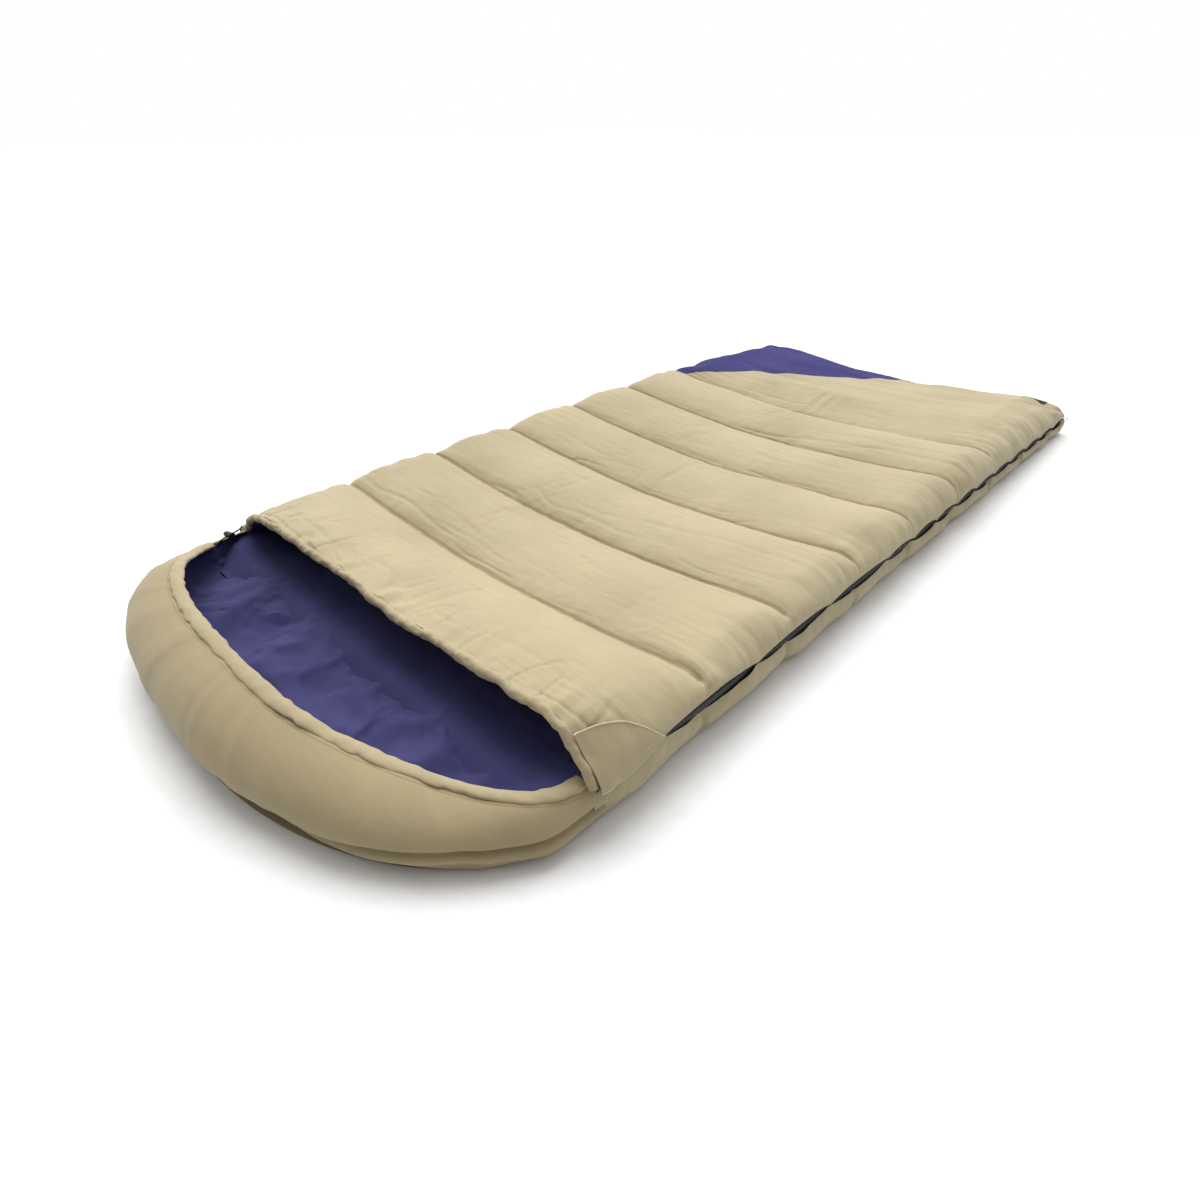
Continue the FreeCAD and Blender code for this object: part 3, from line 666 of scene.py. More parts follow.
def press_seams(obj, depth, width):
    """Presses the channel seams in, as the stitches do."""
    points = own_measure(obj)
    x, groove = points[:, 0], np.zeros(len(points))
    for number, left, _ in SEAMS:
        distance = points[:, 1] - number * CHANNEL
        share = smooth(left, left + 60, x) if left > -HALF_WIDTH else 1.0
        groove += np.exp(-(distance / width) ** 2) * share
    displace(obj, -depth * groove * (1 - smooth(484, 501, np.abs(x))))


def split_panel(obj, name):
    """Cuts the cloth along the slanting panel seam and makes the foot side its own piece."""
    start = place([-HALF_WIDTH, PANEL_LEFT_S, 0])
    end = place([PANEL_RIGHT_X, LENGTH, 0])
    across = Vector((end[1] - start[1], start[0] - end[0], 0)).normalized()
    panel = add_object(name, obj.data.copy())
    for piece, inner in ((obj, False), (panel, True)):
        with editing(piece) as shape:
            bmesh.ops.bisect_plane(shape, geom=shape.verts[:] + shape.edges[:] + shape.faces[:],
                                   plane_co=start, plane_no=across,
                                   clear_inner=not inner, clear_outer=inner)
        shade_smooth(piece)
    panel.data.materials[0] = PANEL
    return panel


top_cloth = build_top_cloth()
press_seams(top_cloth, 3.5, 15.0)
press_seams(top_cloth, 5.5, 3.2)
foot_panel = split_panel(top_cloth, "foot_panel_cloth")
for piece, node, slot in ((top_cloth, "top_shell", "shell_tan"), (foot_panel, "foot_panel", "panel_navy")):
    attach(piece, "top_quilt")
    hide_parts(node)
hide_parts("top_fill")


# Base quilt

BASE_PITCH = 9.0            # distance between the mesh's columns
SIDE_X = 500.0              # reach of its sides, before they bulge
FLAT_HALF = 483.0           # half the width that lies flat on the ground
GROUND = 0.8                # height of the cloth's underside
LOWEST = 0.4                # no point of the cloth may lie lower


def side_wall(s, seat, steps=90):
    """Right side of the base quilt, from its zip edge down to where it lies on the ground."""
    down = np.linspace(0, 1, steps)
    bulge = 8.0 * float(smooth(0, 80, s)) - 1.0
    curl = 1 - np.sqrt(1 - np.minimum(np.abs(1 - 2 * down), 1) ** 2)
    tucked = (3.0 + 16.0 * curl) * (1 - float(smooth(4, 45, s)))
    x = SIDE_X + bulge * np.sin(np.pi * down ** 0.8) - np.maximum(16.0 * down ** 6, tucked)
    return x, GROUND + (seat - GROUND) * (1 - down)


def base_section(s, count):
    """Points from the right zip edge down, under the bag and up to the fold on the left."""
    seat = float(split(s))
    right_x, right_z = side_wall(s, seat - float(lower_gap(np.array([s]))[0]))
    left_x, left_z = side_wall(s, seat - 0.5)
    left_x = np.minimum(left_x, FOLD_X)
    under_x = np.linspace(FLAT_HALF, -FLAT_HALF, 300)
    x = np.concatenate([right_x, under_x, -left_x[::-1]])
    x = x + corner_in(s) * smooth(0, -HALF_WIDTH, x)
    z = np.concatenate([right_z, np.full(300, GROUND), left_z[::-1]])
    return even_run(x, seat + (z - seat) * foot_close(s, LENGTH, FOOT_POWER), count)


def base_folds(points):
    """Outward bulges and folds of the base quilt's sides."""
    x, s, z = points[..., 0], points[..., 1], points[..., 2]
    side = smooth(440, 485, np.abs(x)) * smooth(3, 14, z)
    puff = channel_wave(s) * 6.0 - 4.0
    folds = lattice_noise(points * (0.4, 1, 0.35), 26.0, 31) * 2.5
    slack = lattice_noise(points * (0.4, 1, 0.6), 85.0, 32) * 5.0
    lines = creases(points * (0.4, 1, 0.5), 30.0, (1, 1, 0.6), 0.16, 34) * -2.2
    seam = -5.0 * np.exp(-(seam_distance(s) / 5.0) ** 2) * smooth(100, 200, s)
    edge = smooth(0, 10, split(s) - z) * smooth(0, 40, s) * np.where(x < 0, 0.35, 1.0)
    return side * (puff + folds + slack + lines + seam) * edge


def build_base_cloth():
    rows = np.concatenate([[-4.0, -3.0], even_rows(CHANNEL / 28)])
    count = int(AROUND / BASE_PITCH)
    points = section_grid(rows, count, base_section)
    obj = grid_object("base_quilt_cloth", points, TAN)
    displace(obj, base_folds(points).ravel())
    turn_in(obj, count)
    subdivide(obj)
    keep_above_floor(obj)
    return obj


def turn_in(obj, count):
    """Folds the first row of the cloth inwards, so that its cut edge doesn't show."""
    points = vertex_array(obj.data)
    inside = np.arange(len(points)) < count
    points[inside, 0] *= 0.965
    points[inside, 1] += 8.0 * MM
    points[inside, 2] += (0.04 - points[inside, 2]) * 0.3
    set_vertices(obj.data, points)


def keep_above_floor(obj):
    points = vertex_array(obj.data)
    points[:, 2] = np.maximum(points[:, 2], LOWEST * MM)
    set_vertices(obj.data, points)


base_cloth = build_base_cloth()
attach(base_cloth, "base")
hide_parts("base_shell", "base_fill")


# Hood

HOOD_GAP = 7.0              # between the mouth line and the hood's own cloth
HOOD_HALF = 500.0           # half the hood's width
RIM_HEIGHT = 150.0          # height of the rim at the head
RIM_RIGHT = 80.0            # and where it meets the mouth line, at the right and the left
RIM_LEFT = 86.0
RIM_INSET = 95.0            # how far the rim curls in at the head
HOOD_TURN = np.linspace(0.0, 180.0, 181)    # degrees round the hood, from its right end


def hood_plan(degrees, inset):
    """Plan position on the hood's outline moved in by inset. 0 is right, 90 front, 180 left."""
    phi = np.radians(degrees)
    power = np.where(degrees <= 90, 2.0, 2.8)
    across = np.sign(np.cos(phi)) * np.abs(np.cos(phi)) ** (2 / power)
    along = np.abs(np.sin(phi)) ** (2 / power)
    reach = HOOD_REACH - HOOD_GAP
    return (HOOD_HALF - inset) * across, -HOOD_GAP - (reach - inset) * along


def rim_height(degrees):
    """Height of the hood's rim."""
    lean = np.abs(np.cos(np.radians(degrees)))
    right = RIM_HEIGHT - (RIM_HEIGHT - RIM_RIGHT) * lean
    left = RIM_HEIGHT - (RIM_HEIGHT - RIM_LEFT) * lean ** 6
    return np.where(degrees <= 90, right, left)


def rim_inset(degrees):
    """How far the hood's rim lies inside its outline."""
    lean = np.abs(np.cos(np.radians(degrees)))
    return np.where(degrees <= 90, RIM_INSET - 73.0 * lean ** 8, RIM_INSET - 65.0 * lean ** 10)


def hood_point(degrees, inset, z):
    x, s = hood_plan(degrees, inset)
    return spots(x, s, z)


JOIN_REACH = 16.0
JOIN_STEPS = 5


def with_join(grid):
    """Carries the cloth a little past the mouth at both ends, over the edge of the base quilt."""
    steps = np.linspace(JOIN_REACH, 0.0, JOIN_STEPS, endpoint=False)
    shifts = spots(0, steps + HOOD_GAP, 0)
    right = grid[:, :1] + shifts[None]
    left = grid[:, -1:] + shifts[None, ::-1]
    return np.concatenate([right, grid, left], axis=1)


def hood_wall_grid(rows):
    """Outer wall of the hood, from where it lies on the ground up to its rim."""
    rim, inset = rim_height(HOOD_TURN), rim_inset(HOOD_TURN)
    under = 60.0 - 44.0 * smooth(75, 25, HOOD_TURN) - 42.0 * smooth(160, 178, HOOD_TURN)
    middle = 0.45 * rim
    grid = []
    for angle in np.linspace(-math.pi / 2, math.pi / 2, rows):
        curl, lift = 1 - math.cos(angle), math.sin(angle)
        if angle < 0:
            grid.append(hood_point(HOOD_TURN, under * curl, middle + (middle - 0.6) * lift))
        else:
            grid.append(hood_point(HOOD_TURN, inset * curl, middle + (rim - middle) * lift))
    return with_join(np.array(grid))


def hood_puckers(points):
    """Soft radial folds, deepest low on the wall where the hood meets the base."""
    z = points[..., 2]
    low = 1 - smooth(15, 75, z)
    around = np.arctan2(points[..., 0], -points[..., 1] - 40.0)
    turn = spots(around * 330.0, z * 0.25, 0)
    puckers = lattice_noise(turn, 38.0, 41) * 6.0 * low + lattice_noise(turn, 110.0, 42) * 3.5
    fine = lattice_noise(turn * (1, 0.6, 1), 17.0, 43) * 1.2
    return (puckers + fine) * smooth(1, 20, z) + hood_crease(points)


def hood_crease(points):
    """On the right the hood's roll hangs over the edge of the quilt that it is sewn to."""
    x, z = points[..., 0], points[..., 2]
    share = smooth(-140, 60, x)
    height = 19.0 + 22.0 * smooth(20, 470, x) + 4.0 * line_noise(x, 70.0, 44)
    fold = np.exp(-((z - height) / 3.5) ** 2)
    below = np.exp(-((z - height + 11.0) / 6.0) ** 2)
    deep = 5.0 + 6.0 * smooth(-300, 100, x)
    return share * (4.0 * below - deep * fold) * smooth(1, 8, z)


def build_hood_cloth():
    points = hood_wall_grid(40)
    obj = grid_object("hood_cloth", points, TAN_HOOD_PAINTED_SHADE)
    displace(obj, -hood_puckers(points).ravel())
    subdivide(obj)
    keep_above_floor(obj)
    return obj


def build_hood_floor():
    """Underside of the hood, a little above the ground."""
    insets = np.linspace(14.0, HOOD_REACH - HOOD_GAP, 26)
    points = np.array([hood_point(HOOD_TURN, inset, 1.2) for inset in insets])
    return grid_object("hood_underside", points, TAN_HOOD_PAINTED_SHADE)


def bend_at_mouth(piece, start=JOIN_REACH, end=-60.0):
    """Bakes the piece's transform into its mesh."""
    tuple(place([0, start, 50]))
    tuple(place([0, end, 50]))
    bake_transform(piece)


hood_cloth = build_hood_cloth()
hood_floor = build_hood_floor()
for piece in (hood_cloth, hood_floor):
    bend_at_mouth(piece)
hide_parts("hood_shell", "hood_wall_fill", "hood_floor_fill")


# Linings

BASE_LOFT = 42.0            # height of the lining's floor
LINING_HALF = 486.0         # half its width
LINING_END = LENGTH - 46.0  # where it ends at the foot
MOUTH_LINING_S = (-92.0, 78.0)
MOUTH_LINING_HALF = 482.0


def lining_floor(s):
    return BASE_LOFT - 14.0 * float(taper(s))


def swell(points, large, small):
    """Uneven rise of a lining over the filling."""
    return lattice_noise(points, 95.0, 51) * large + lattice_noise(points, 45.0, 52) * small


def hood_lining_grid():
    """From the rim down the inside of the wall and over the floor to the mouth."""
    degrees = np.linspace(2.0, 178.0, 130)
    rim, inset = rim_height(degrees) - 4.0, rim_inset(degrees) + 4.0
    middle = BASE_LOFT + 0.4 * (rim - BASE_LOFT)
    grid = []
    for angle in np.linspace(math.pi / 2, -math.pi / 2, 22):
        curl, lift = 1 - math.cos(angle), math.sin(angle)
        start = np.minimum(40.0, inset - 4.0)
        if angle > 0:
            line = start + (inset - start) * curl, middle + (rim - middle) * lift
        else:
            line = start + (110.0 - start) * curl, middle + (middle - BASE_LOFT - 3.0) * lift
        grid.append(hood_point(degrees, *line))
    for fan in np.linspace(118.0, HOOD_REACH - HOOD_GAP, 22):
        grid.append(hood_point(degrees, fan, BASE_LOFT + 3.0))
    return np.array(grid)


def build_hood_lining():
    points = hood_lining_grid()
    held = border(points)
    held[24, 10::22] = held[33, 3::16] = held[14, 8::26] = True
    row = np.arange(len(points))
    share = 0.15 + 0.85 * smooth(10, 20, row)[:, None]
    points[..., 2] += swell(points, 12.0, 5.0) * share * ~held
    obj = grid_object("hood_lining_cloth", points, NAVY)
    cap = np.repeat(6.0 + 34.0 * smooth(11, 20, row), points.shape[1])
    inflate(obj, held.ravel(), pressure=1.8, growth=0.06, cap=cap, bending=0.5)
    subdivide(obj)
    displace(obj, -2.5 * creases(own_measure(obj), 60.0, (1, 0.5, 0.6), 0.12, 53))
    return obj


def build_mouth_lining():
    """Lining that runs on from the hood into the bag, over the line where the hood bends."""
    s = np.linspace(*MOUTH_LINING_S, 34)[:, None]
    x = np.linspace(-MOUTH_LINING_HALF, MOUTH_LINING_HALF, 150)
    front = 1 - smooth(MOUTH_LINING_S[0], -40, s)
    middle = 1 - (np.clip(s - JOIN_REACH, 0, None) / (MOUTH_LINING_S[1] - JOIN_REACH)) ** 2
    sides = 27.0 * smooth(385, MOUTH_LINING_HALF, np.abs(x))
    height = BASE_LOFT - 1.0 + 8.0 * middle + sides - 30.0 * front
    points = spots(x * (1 - 0.1 * front), s, height)
    points[..., 2] += np.maximum(swell(points, 7.0, 3.0), -2.0) * middle * (1 - front)
    obj = grid_object("mouth_lining_cloth", points, NAVY)
    subdivide(obj)
    return obj


def base_lining_section(s, count):
    """Over the floor, and up to just below the zip line at both sides."""
    u = eased_across(600)
    seat = split(s) - 8.0
    depth = np.sqrt(1 - np.abs(u) ** 12) * foot_close(s, LINING_END, 60)
    return even_run(LINING_HALF * u, seat - (seat - lining_floor(s)) * depth, count)


def top_lining_section(s, count):
    """Follows the outer cloth at the filling's thickness, and closes to the zip at both sides."""
    x = LINING_HALF * eased_across(600)
    outer = top_height(x * HALF_WIDTH / LINING_HALF, np.full(x.shape, s))
    seat = float(split(s)) + 8.0
    thin = 10.0 + 20.0 * min(1.0, s / 80.0) ** 0.5 - 5.0 * float(taper(s))
    inner = np.maximum(outer - thin, lining_floor(s) + 6.0)
    side = smooth(LINING_HALF, LINING_HALF - 40.0, np.abs(x))
    return even_run(x, seat + (inner - seat) * side * foot_close(s, LINING_END, 60), count)


def build_lining(name, section, start, direction):
    """Lining of a quilt, held at its edges and seams and blown up or down by direction."""
    step = CHANNEL / 18
    rows = np.arange(start, LINING_END, step)
    points = section_grid(rows, 92, section)
    held = border(points)
    held[np.flatnonzero(seam_distance(rows) < step / 2)] = True
    folds = lattice_noise(points * (0.3, 1, 0.3), 45.0, 61) * 3.0
    points[..., 2] += (folds + 2.0 * direction) * ~held
    obj = grid_object(name, points, NAVY)
    inflate(obj, held.ravel(), pressure=1.0 * direction, growth=0.012, cap=4.0)
    subdivide(obj)
    return obj


hood_lining = build_hood_lining()
bend_at_mouth(hood_lining)
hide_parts("hood_lining")
base_lining = build_lining("base_lining_cloth", base_lining_section, 12.0, 1.0)
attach(base_lining, "base")
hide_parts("base_lining")
mouth_lining = build_mouth_lining()
bend_at_mouth(mouth_lining)
top_lining = build_lining("top_lining_cloth", top_lining_section, 0.0, -1.0)
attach(top_lining, "top_quilt")
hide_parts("top_lining")


def build_lining_fold():
    """Lining at the left fold, which joins the base quilt's lining to the top quilt's."""
    s = np.arange(-8.0, LENGTH - 50.0, CHANNEL / 18)[:, None]
    across = np.linspace(0, 1, 9)
    points = spots(-478.0 - 15.0 * np.sin(np.pi * across), s, split(s) + 32.0 * (across - 0.5))
    points += 1.5 * lattice_noise(points, 30.0, 62)[..., None]
    obj = grid_object("left_lining_fold", points, NAVY)
    subdivide(obj)
    return obj


lining_fold = build_lining_fold()
tuple(place([-480, 0, 66]))
tuple(place([-480, 0, 92]))
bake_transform(lining_fold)


def build_draft_tube():
    """Padded tube inside the bag that keeps draughts out at the zip."""
    s = np.linspace(15.0, 1650.0, 330)
    path = spots(440.0, s, 64.5 - 13.5 * (s - 15.0) / 1635.0)
    puckers = 0.12 * ring_noise(s, 14, 30.0, 63) + 0.08 * ring_noise(s, 14, 11.0, 64)
    puckers -= 0.35 * np.exp(-(seam_distance(s) / 7.0) ** 2)[:, None]
    return tube_object("draft_tube_cloth", path, RIGHT, UP, (7.5, 8.0), NAVY, puckers, 14)


# Strips along the edges

def build_hem():
    """Folded binding along the top quilt's edge at the mouth, scrunched along its length."""
    x, z = top_section(0.0, 420)
    path = spots(x, 0, z)
    tangent = unit(np.gradient(path, axis=0))
    outward = spots(-tangent[:, 2], 0, tangent[:, 0])
    run = path_run(path)
    path = path - outward * 5.0
    path[:, 1] += -4.0 + 2.5 * line_noise(run, 40.0, 71)
    path[:, 2] += 1.6 * line_noise(run, 22.0, 72)
    puckers = 0.22 * ring_noise(run, 16, 9.0, 73) + 0.12 * ring_noise(run, 16, 24.0, 74)
    return tube_object("top_hem_binding", path, outward, AHEAD, (8.0, 7.0), TAN_SMOOTH, puckers)


def build_casing():
    """Stitched strip along the hood's rim that holds the drawcord."""
    degrees = np.linspace(0.0, 170.0, 460)
    inset, height = rim_inset(degrees), rim_height(degrees) + 0.5
    path = hood_point(degrees, inset + 1.0, height)
    across = unit(hood_point(degrees, inset + 20.0, height) - path)
    run = path_run(path)
    path[:, 2] += 1.5 * line_noise(run, 35.0, 75)
    puckers = 0.16 * ring_noise(run, 16, 12.0, 76) + 0.10 * ring_noise(run, 16, 34.0, 77)
    return tube_object("hood_casing_strip", path, across, UP, (11.5, 5.5), TAN_SMOOTH, puckers)


def build_piping():
    """Thin edge of the top quilt's cloth over the zip, made lighter as a painted highlight."""
    s = np.arange(2.0, LENGTH - 8.0, 4.0)
    path = spots(HALF_WIDTH, s, split(s) + upper_gap(s))
    return tube_object("zip_edge_piping", path, RIGHT, UP, (1.4, 1.4), PAINTED_HIGHLIGHT_PIPING, sides=8)


# Zips

TAPE_LEAN = 4.0             # how far a tape's outer edge lies behind the zip line
TAPE_STEP = 6.0
TOOTH_PITCH = 2.8


def on_side(points):
    """Zip measure (out, along, up) to the bag's own measure, on the side zip."""
    out, along, up = np.moveaxis(points, -1, 0)
    return spots(ZIP_X + out, along, split(along) + up)


def on_foot(points):
    """The same on the foot zip."""
    out, along, up = np.moveaxis(points, -1, 0)
    return spots(along, LENGTH - 2.0 + out, SPLIT_FOOT + up)


def build_tape(name, placed, sign, reach, start, end):
    """Half of a woven tape with a raised selvedge, along its zip. It leans in behind the cloth."""
    along = np.arange(start, end, TAPE_STEP)
    profile = np.array([(-0.5, 3.0), (0.5, 3.0), (0.9, 4.5), (0.5, 6.0), (0.5, 8.0),
                        (-TAPE_LEAN, reach), (-TAPE_LEAN - 1.0, reach), (-0.5, 8.0)])
    points = spots(profile[:, 0], along[:, None], profile[:, 1] * sign)
    obj = grid_object(name, placed(points), TAPE, close_across=True)
    cap_ends(obj, len(along), len(profile))
    shade_smooth(obj, False)
    return obj


# Corners of a block's six faces. The four corners of one side come first, then the other four.
BLOCK_FACES = [(0, 1, 2, 3), (7, 6, 5, 4), (0, 4, 5, 1), (1, 5, 6, 2), (2, 6, 7, 3), (3, 7, 4, 0)]


def blocks(name, corners, material):
    """One mesh of many small blocks, given each one's eight corners in metres."""
    faces = [[first + index for index in face]
             for first in range(0, 8 * len(corners), 8) for face in BLOCK_FACES]
    return mesh_object(name, np.concatenate(corners).tolist(), faces, material)


def tooth_corners(sign):
    """One turn of the nylon coil, wider where it hooks into the other row."""
    near, far, half, out = 0.2 * sign, 3.4 * sign, 0.85, 1.2
    front = [(out, -half, near), (out, half, near), (out, half * 0.6, far), (out, -half * 0.6, far)]
    return np.array(front + [(-x, y, z) for x, y, z in front])


def build_teeth(name, placed, sign, start, end):
    """One row of a zip's coil. The upper row sits between the turns of the lower one."""
    shift = TOOTH_PITCH / 2 if sign > 0 else 0.0
    runs = np.arange(start + shift, end, TOOTH_PITCH)
    corners = tooth_corners(sign)
    return blocks(name, [place(placed(corners + (0, along, 0))) for along in runs], TEETH)


# Closure tab

# Points (height, x) of the top quilt's right side close to the mouth.
SHOULDER = [(60, 505), (84, 505), (107, 494), (132, 476), (158, 455)]


def shoulder_x(z):
    heights, reach = zip(*SHOULDER)
    return np.interp(z, heights, reach)


TAB_TOP = np.array([-3.0, 147.0])       # corners of the tab, each (s, z)
TAB_FOOT = np.array([-3.0, 77.0])
TAB_TIP = np.array([120.0, 88.0])
TAB_ROWS = 34
TAB_COLUMNS = 40
TAB_LIFT = 3.0                          # how far it lies off the cloth


def tab_outline():
    """Leaf: straight along the mouth, with arcs from its top and foot to its tip."""
    out = np.linspace(0, 1, TAB_COLUMNS)[:, None]
    arch = np.sin(np.pi * out)
    upper = TAB_TOP + (TAB_TIP - TAB_TOP) * out + np.array([9.0, 15.0]) * arch
    lower = TAB_FOOT + (TAB_TIP - TAB_FOOT) * out + np.array([4.0, -13.0]) * arch
    return lower, upper


def on_cloth(tree, x, s, z):
    """How far out the cloth is where a slanting line from outside meets it, or x."""
    slant = Vector((-0.86, 0.0, -0.5))
    start = Vector(place([x, s, z])) - slant * 0.05
    hit, _, _, _ = tree.ray_cast(start, slant, 0.08)
    return x if hit is None else x + (hit - Vector(place([x, s, z]))).dot(-slant) / MM


def spread(values):
    """Evens out a grid of values."""
    for _ in range(6):
        padded = np.pad(values, 1, mode="edge")
        values = (padded[:-2, 1:-1] + padded[2:, 1:-1] + padded[1:-1, :-2] + padded[1:-1, 2:]) / 4
    return values


def tab_grid(tree):
    """Points of the tab, laid on the cloth, a little off it past its sewn edge and at the slider."""
    lower, upper = tab_outline()
    share = np.linspace(0, 1, TAB_ROWS)[:, None, None]
    grid = np.zeros((TAB_ROWS, TAB_COLUMNS, 3))
    grid[..., 1:] = lower[None] + (upper - lower)[None] * share
    for spot in grid.reshape(-1, 3):
        spot[0] = on_cloth(tree, float(shoulder_x(spot[2])), spot[1], spot[2])
    tuck = smooth(0, 0.12, np.linspace(0, 1, TAB_COLUMNS))
    grid[..., 0] = np.maximum(spread(grid[..., 0]), shoulder_x(grid[..., 2]) - 4.0) + TAB_LIFT * tuck
    near_slider = np.hypot(grid[..., 1] + 3.0, grid[..., 2] - 84.0)
    grid[..., 0] += 4.0 * (1 - smooth(8, 40, near_slider)) + 0.7 * lattice_noise(grid, 24.0, 81)
    return grid


def build_tab(tree):
    """The closure tab, and its corded edges."""
    grid = tab_grid(tree)
    obj = grid_object("closure_tab_cloth", grid, TAN_SMOOTH)
    thicken(obj, 1.6)
    subdivide(obj)
    edges = [grid[-1], grid[0]]
    return obj, [build_edge_cord(f"closure_tab_piping_{n}", line) for n, line in enumerate(edges)]


def build_edge_cord(name, line):
    """Corded piping along an edge of the tab, made lighter as a painted highlight."""
    side = unit(np.cross(unit(np.gradient(line, axis=0)), RIGHT))
    return tube_object(name, line, RIGHT, side, (1.3, 1.3), PAINTED_HIGHLIGHT_PIPING, sides=10)


# Stitches

def surface_finder(obj):
    graph = bpy.context.evaluated_depsgraph_get()
    return BVHTree.FromObject(obj, graph)


def dropped(tree, x, s):
    """Point and normal where a plumb line meets the surface, in metres."""
    start = Vector(place([x, s, 400.0]))
    hit, normal, _, _ = tree.ray_cast(start, Vector((0, 0, -1)))
    return hit, normal


STITCH_LENGTH = 2.6
STITCH_WIDTH = 0.9
STITCH_HEIGHT = 0.7
STITCH_PITCH = 4.2


def stitch_corners(centre, normal, direction):
    """A short raised thread lying on the cloth, with its foot a little inside it."""
    along = (direction - normal * direction.dot(normal)).normalized()
    along, normal, base = np.array(along), np.array(normal), np.array(centre)
    side = np.cross(along, normal)
    long, wide = STITCH_LENGTH / 2 * MM, STITCH_WIDTH / 2 * MM
    flat = [(-1, -1), (1, -1), (1, 1), (-1, 1)]
    low = [base + a * long * along + b * wide * side - 0.3 * MM * normal for a, b in flat]
    top = [base + a * long * 0.7 * along + b * wide * 0.6 * side + STITCH_HEIGHT * MM * normal
           for a, b in flat]
    return low[::-1] + top[::-1]


def stitches(name, trees, places, material):
    """Stitches at (x, s, direction) places on the highest surface below each."""
    corners = []
    for x, s, direction in places:
        hits = [dropped(tree, x, s) for tree in trees]
        hits = [hit for hit in hits if hit[0] is not None]
        if hits:
            corners.append(stitch_corners(*max(hits, key=lambda hit: hit[0].z), Vector(direction)))
    return blocks(name, corners, material)


def seam_places():
    """Stitches along each channel seam."""
    places = []
    for number, left, right in SEAMS:
        for x in np.arange(max(left, -484.0), min(right, 485.0), STITCH_PITCH):
            places.append((x, number * CHANNEL, (1, 0, 0)))
    return places


def rim_places():
    """Stitches along the outer edge of the hood's casing."""
    places = []
    for degrees in np.arange(2.0, 170.0, 0.45):
        turn = np.array([degrees, degrees + 0.2])
        x, s = hood_plan(turn, rim_inset(turn) - 14.0)
        places.append((x[0], s[0], (x[1] - x[0], s[1] - s[0], 0)))
    return places


# Label

LABEL_S = (1856.0, 1890.0)
LABEL_X = (394.0, 456.0)


def build_label(trees):
    """Blank woven label that follows the cloth at the foot."""
    grid = []
    for s in np.linspace(*LABEL_S, 10):
        for x in np.linspace(*LABEL_X, 16):
            hits = [dropped(tree, x, s)[0] for tree in trees]
            height = max(hit.z for hit in hits if hit is not None) / MM
            grid.append((x, s, height + 1.0))
    obj = grid_object("blank_label", np.reshape(grid, (10, 16, 3)), LABEL_CLOTH)
    thicken(obj, 0.8)
    return obj


# Lighter copy of the shell cloth for the thin edges over the zip and round the closure tab: a painted
# highlight where these raised edges catch the light.
PAINTED_HIGHLIGHT_PIPING = cloth_material("piping_cloth", rgb(190, 177, 146), rgb(204, 192, 162), crease=0.1)
TEETH = cloth_material("nylon_coil", rgb(20, 20, 24), rgb(34, 34, 38), sheen=0, weave=0.1, crease=0.05,
                       rough=(0.35, 0.55))
THREAD = cloth_material("sewing_thread", rgb(150, 128, 88), rgb(168, 146, 104), crease=0.0)
LABEL_CLOTH = cloth_material("label_cloth", rgb(24, 24, 30), rgb(34, 34, 42), weave=0.6, crease=0.1)

SIDE_START, SIDE_END = 3.0, LENGTH - 8.0
FOOT_START, FOOT_END = -427.0, 492.0

draft_tube = build_draft_tube()
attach(draft_tube, "base")
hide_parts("draft_tube")
hem = build_hem()
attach(hem, "top_quilt")
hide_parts("top_hem")
casing = build_casing()
bend_at_mouth(casing)
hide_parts("hood_casing")
piping = build_piping()
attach(piping, "top_quilt")

# Each zip's name, its measure, its ends, and how wide its lower and upper tapes are.
ZIPS = [
    ("side_zip", on_side, SIDE_START, SIDE_END, 24.0, 17.0),
    ("foot_zip", on_foot, FOOT_START, FOOT_END, 14.0, 11.0),
]
for part, placed, start, end, lower_reach, upper_reach in ZIPS:
    halves = (("lower", -1, lower_reach, "base"), ("upper", 1, upper_reach, "top_quilt"))
    for half, sign, reach, body in halves:
        tape = build_tape(f"{part}_{half}_woven_tape", placed, sign, reach, start, end)
        teeth = build_teeth(f"{part}_{half}_coil", placed, sign, start + 22, end - 22)
        for piece, node, slot in ((tape, "tape", "zip_tape"), (teeth, "teeth", "zip_teeth")):
            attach(piece, body)
            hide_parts(f"{part}_{half}_{node}")

tab, tab_piping = build_tab(surface_finder(top_cloth))
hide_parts("closure_tab")
for piece in [tab] + tab_piping:
    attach(piece, "closure_tab")

top_trees = [surface_finder(top_cloth), surface_finder(foot_panel)]
seam_stitching = stitches("top_seam_stitches", top_trees, seam_places(), THREAD)
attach(seam_stitching, "top_quilt")
casing_stitching = stitches("hood_casing_stitches", [surface_finder(hood_cloth)], rim_places(), THREAD)
bend_at_mouth(casing_stitching)
label = build_label(top_trees)
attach(label, "top_quilt")
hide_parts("label")


# Drawcord's tail: the points of its route in the bag's own measure

TAIL_ROUTE = [
    (-445.9, -89.6, 89.7),
    (-452.5, -76.0, 92.0),
    (-457.5, -61.0, 96.6),
    (-468.5, -21.0, 96.9),
    (-485.5, -12.5, 94.6),
    (-499.0, -11.0, 84.5),
    (-506.0, -12.5, 68.5),
    (-507.5, -14.0, 51.5),
]
CORD_RADIUS = 1.5
KNOT_SCALE = 0.85


def hard_material(name, dark, light, metallic, rough, grain, depth):
    """Metal or moulded plastic with a fine uneven surface."""
    nodes = Nodes(name)
    fine = nodes.noise(grain, 4.0)
    color = nodes.ramp(nodes.noise(70.0, 3.0), dark, light)
    return nodes.surface(color, nodes.bump(fine, 0.35, depth), fine, rough, {"Metallic": metallic})


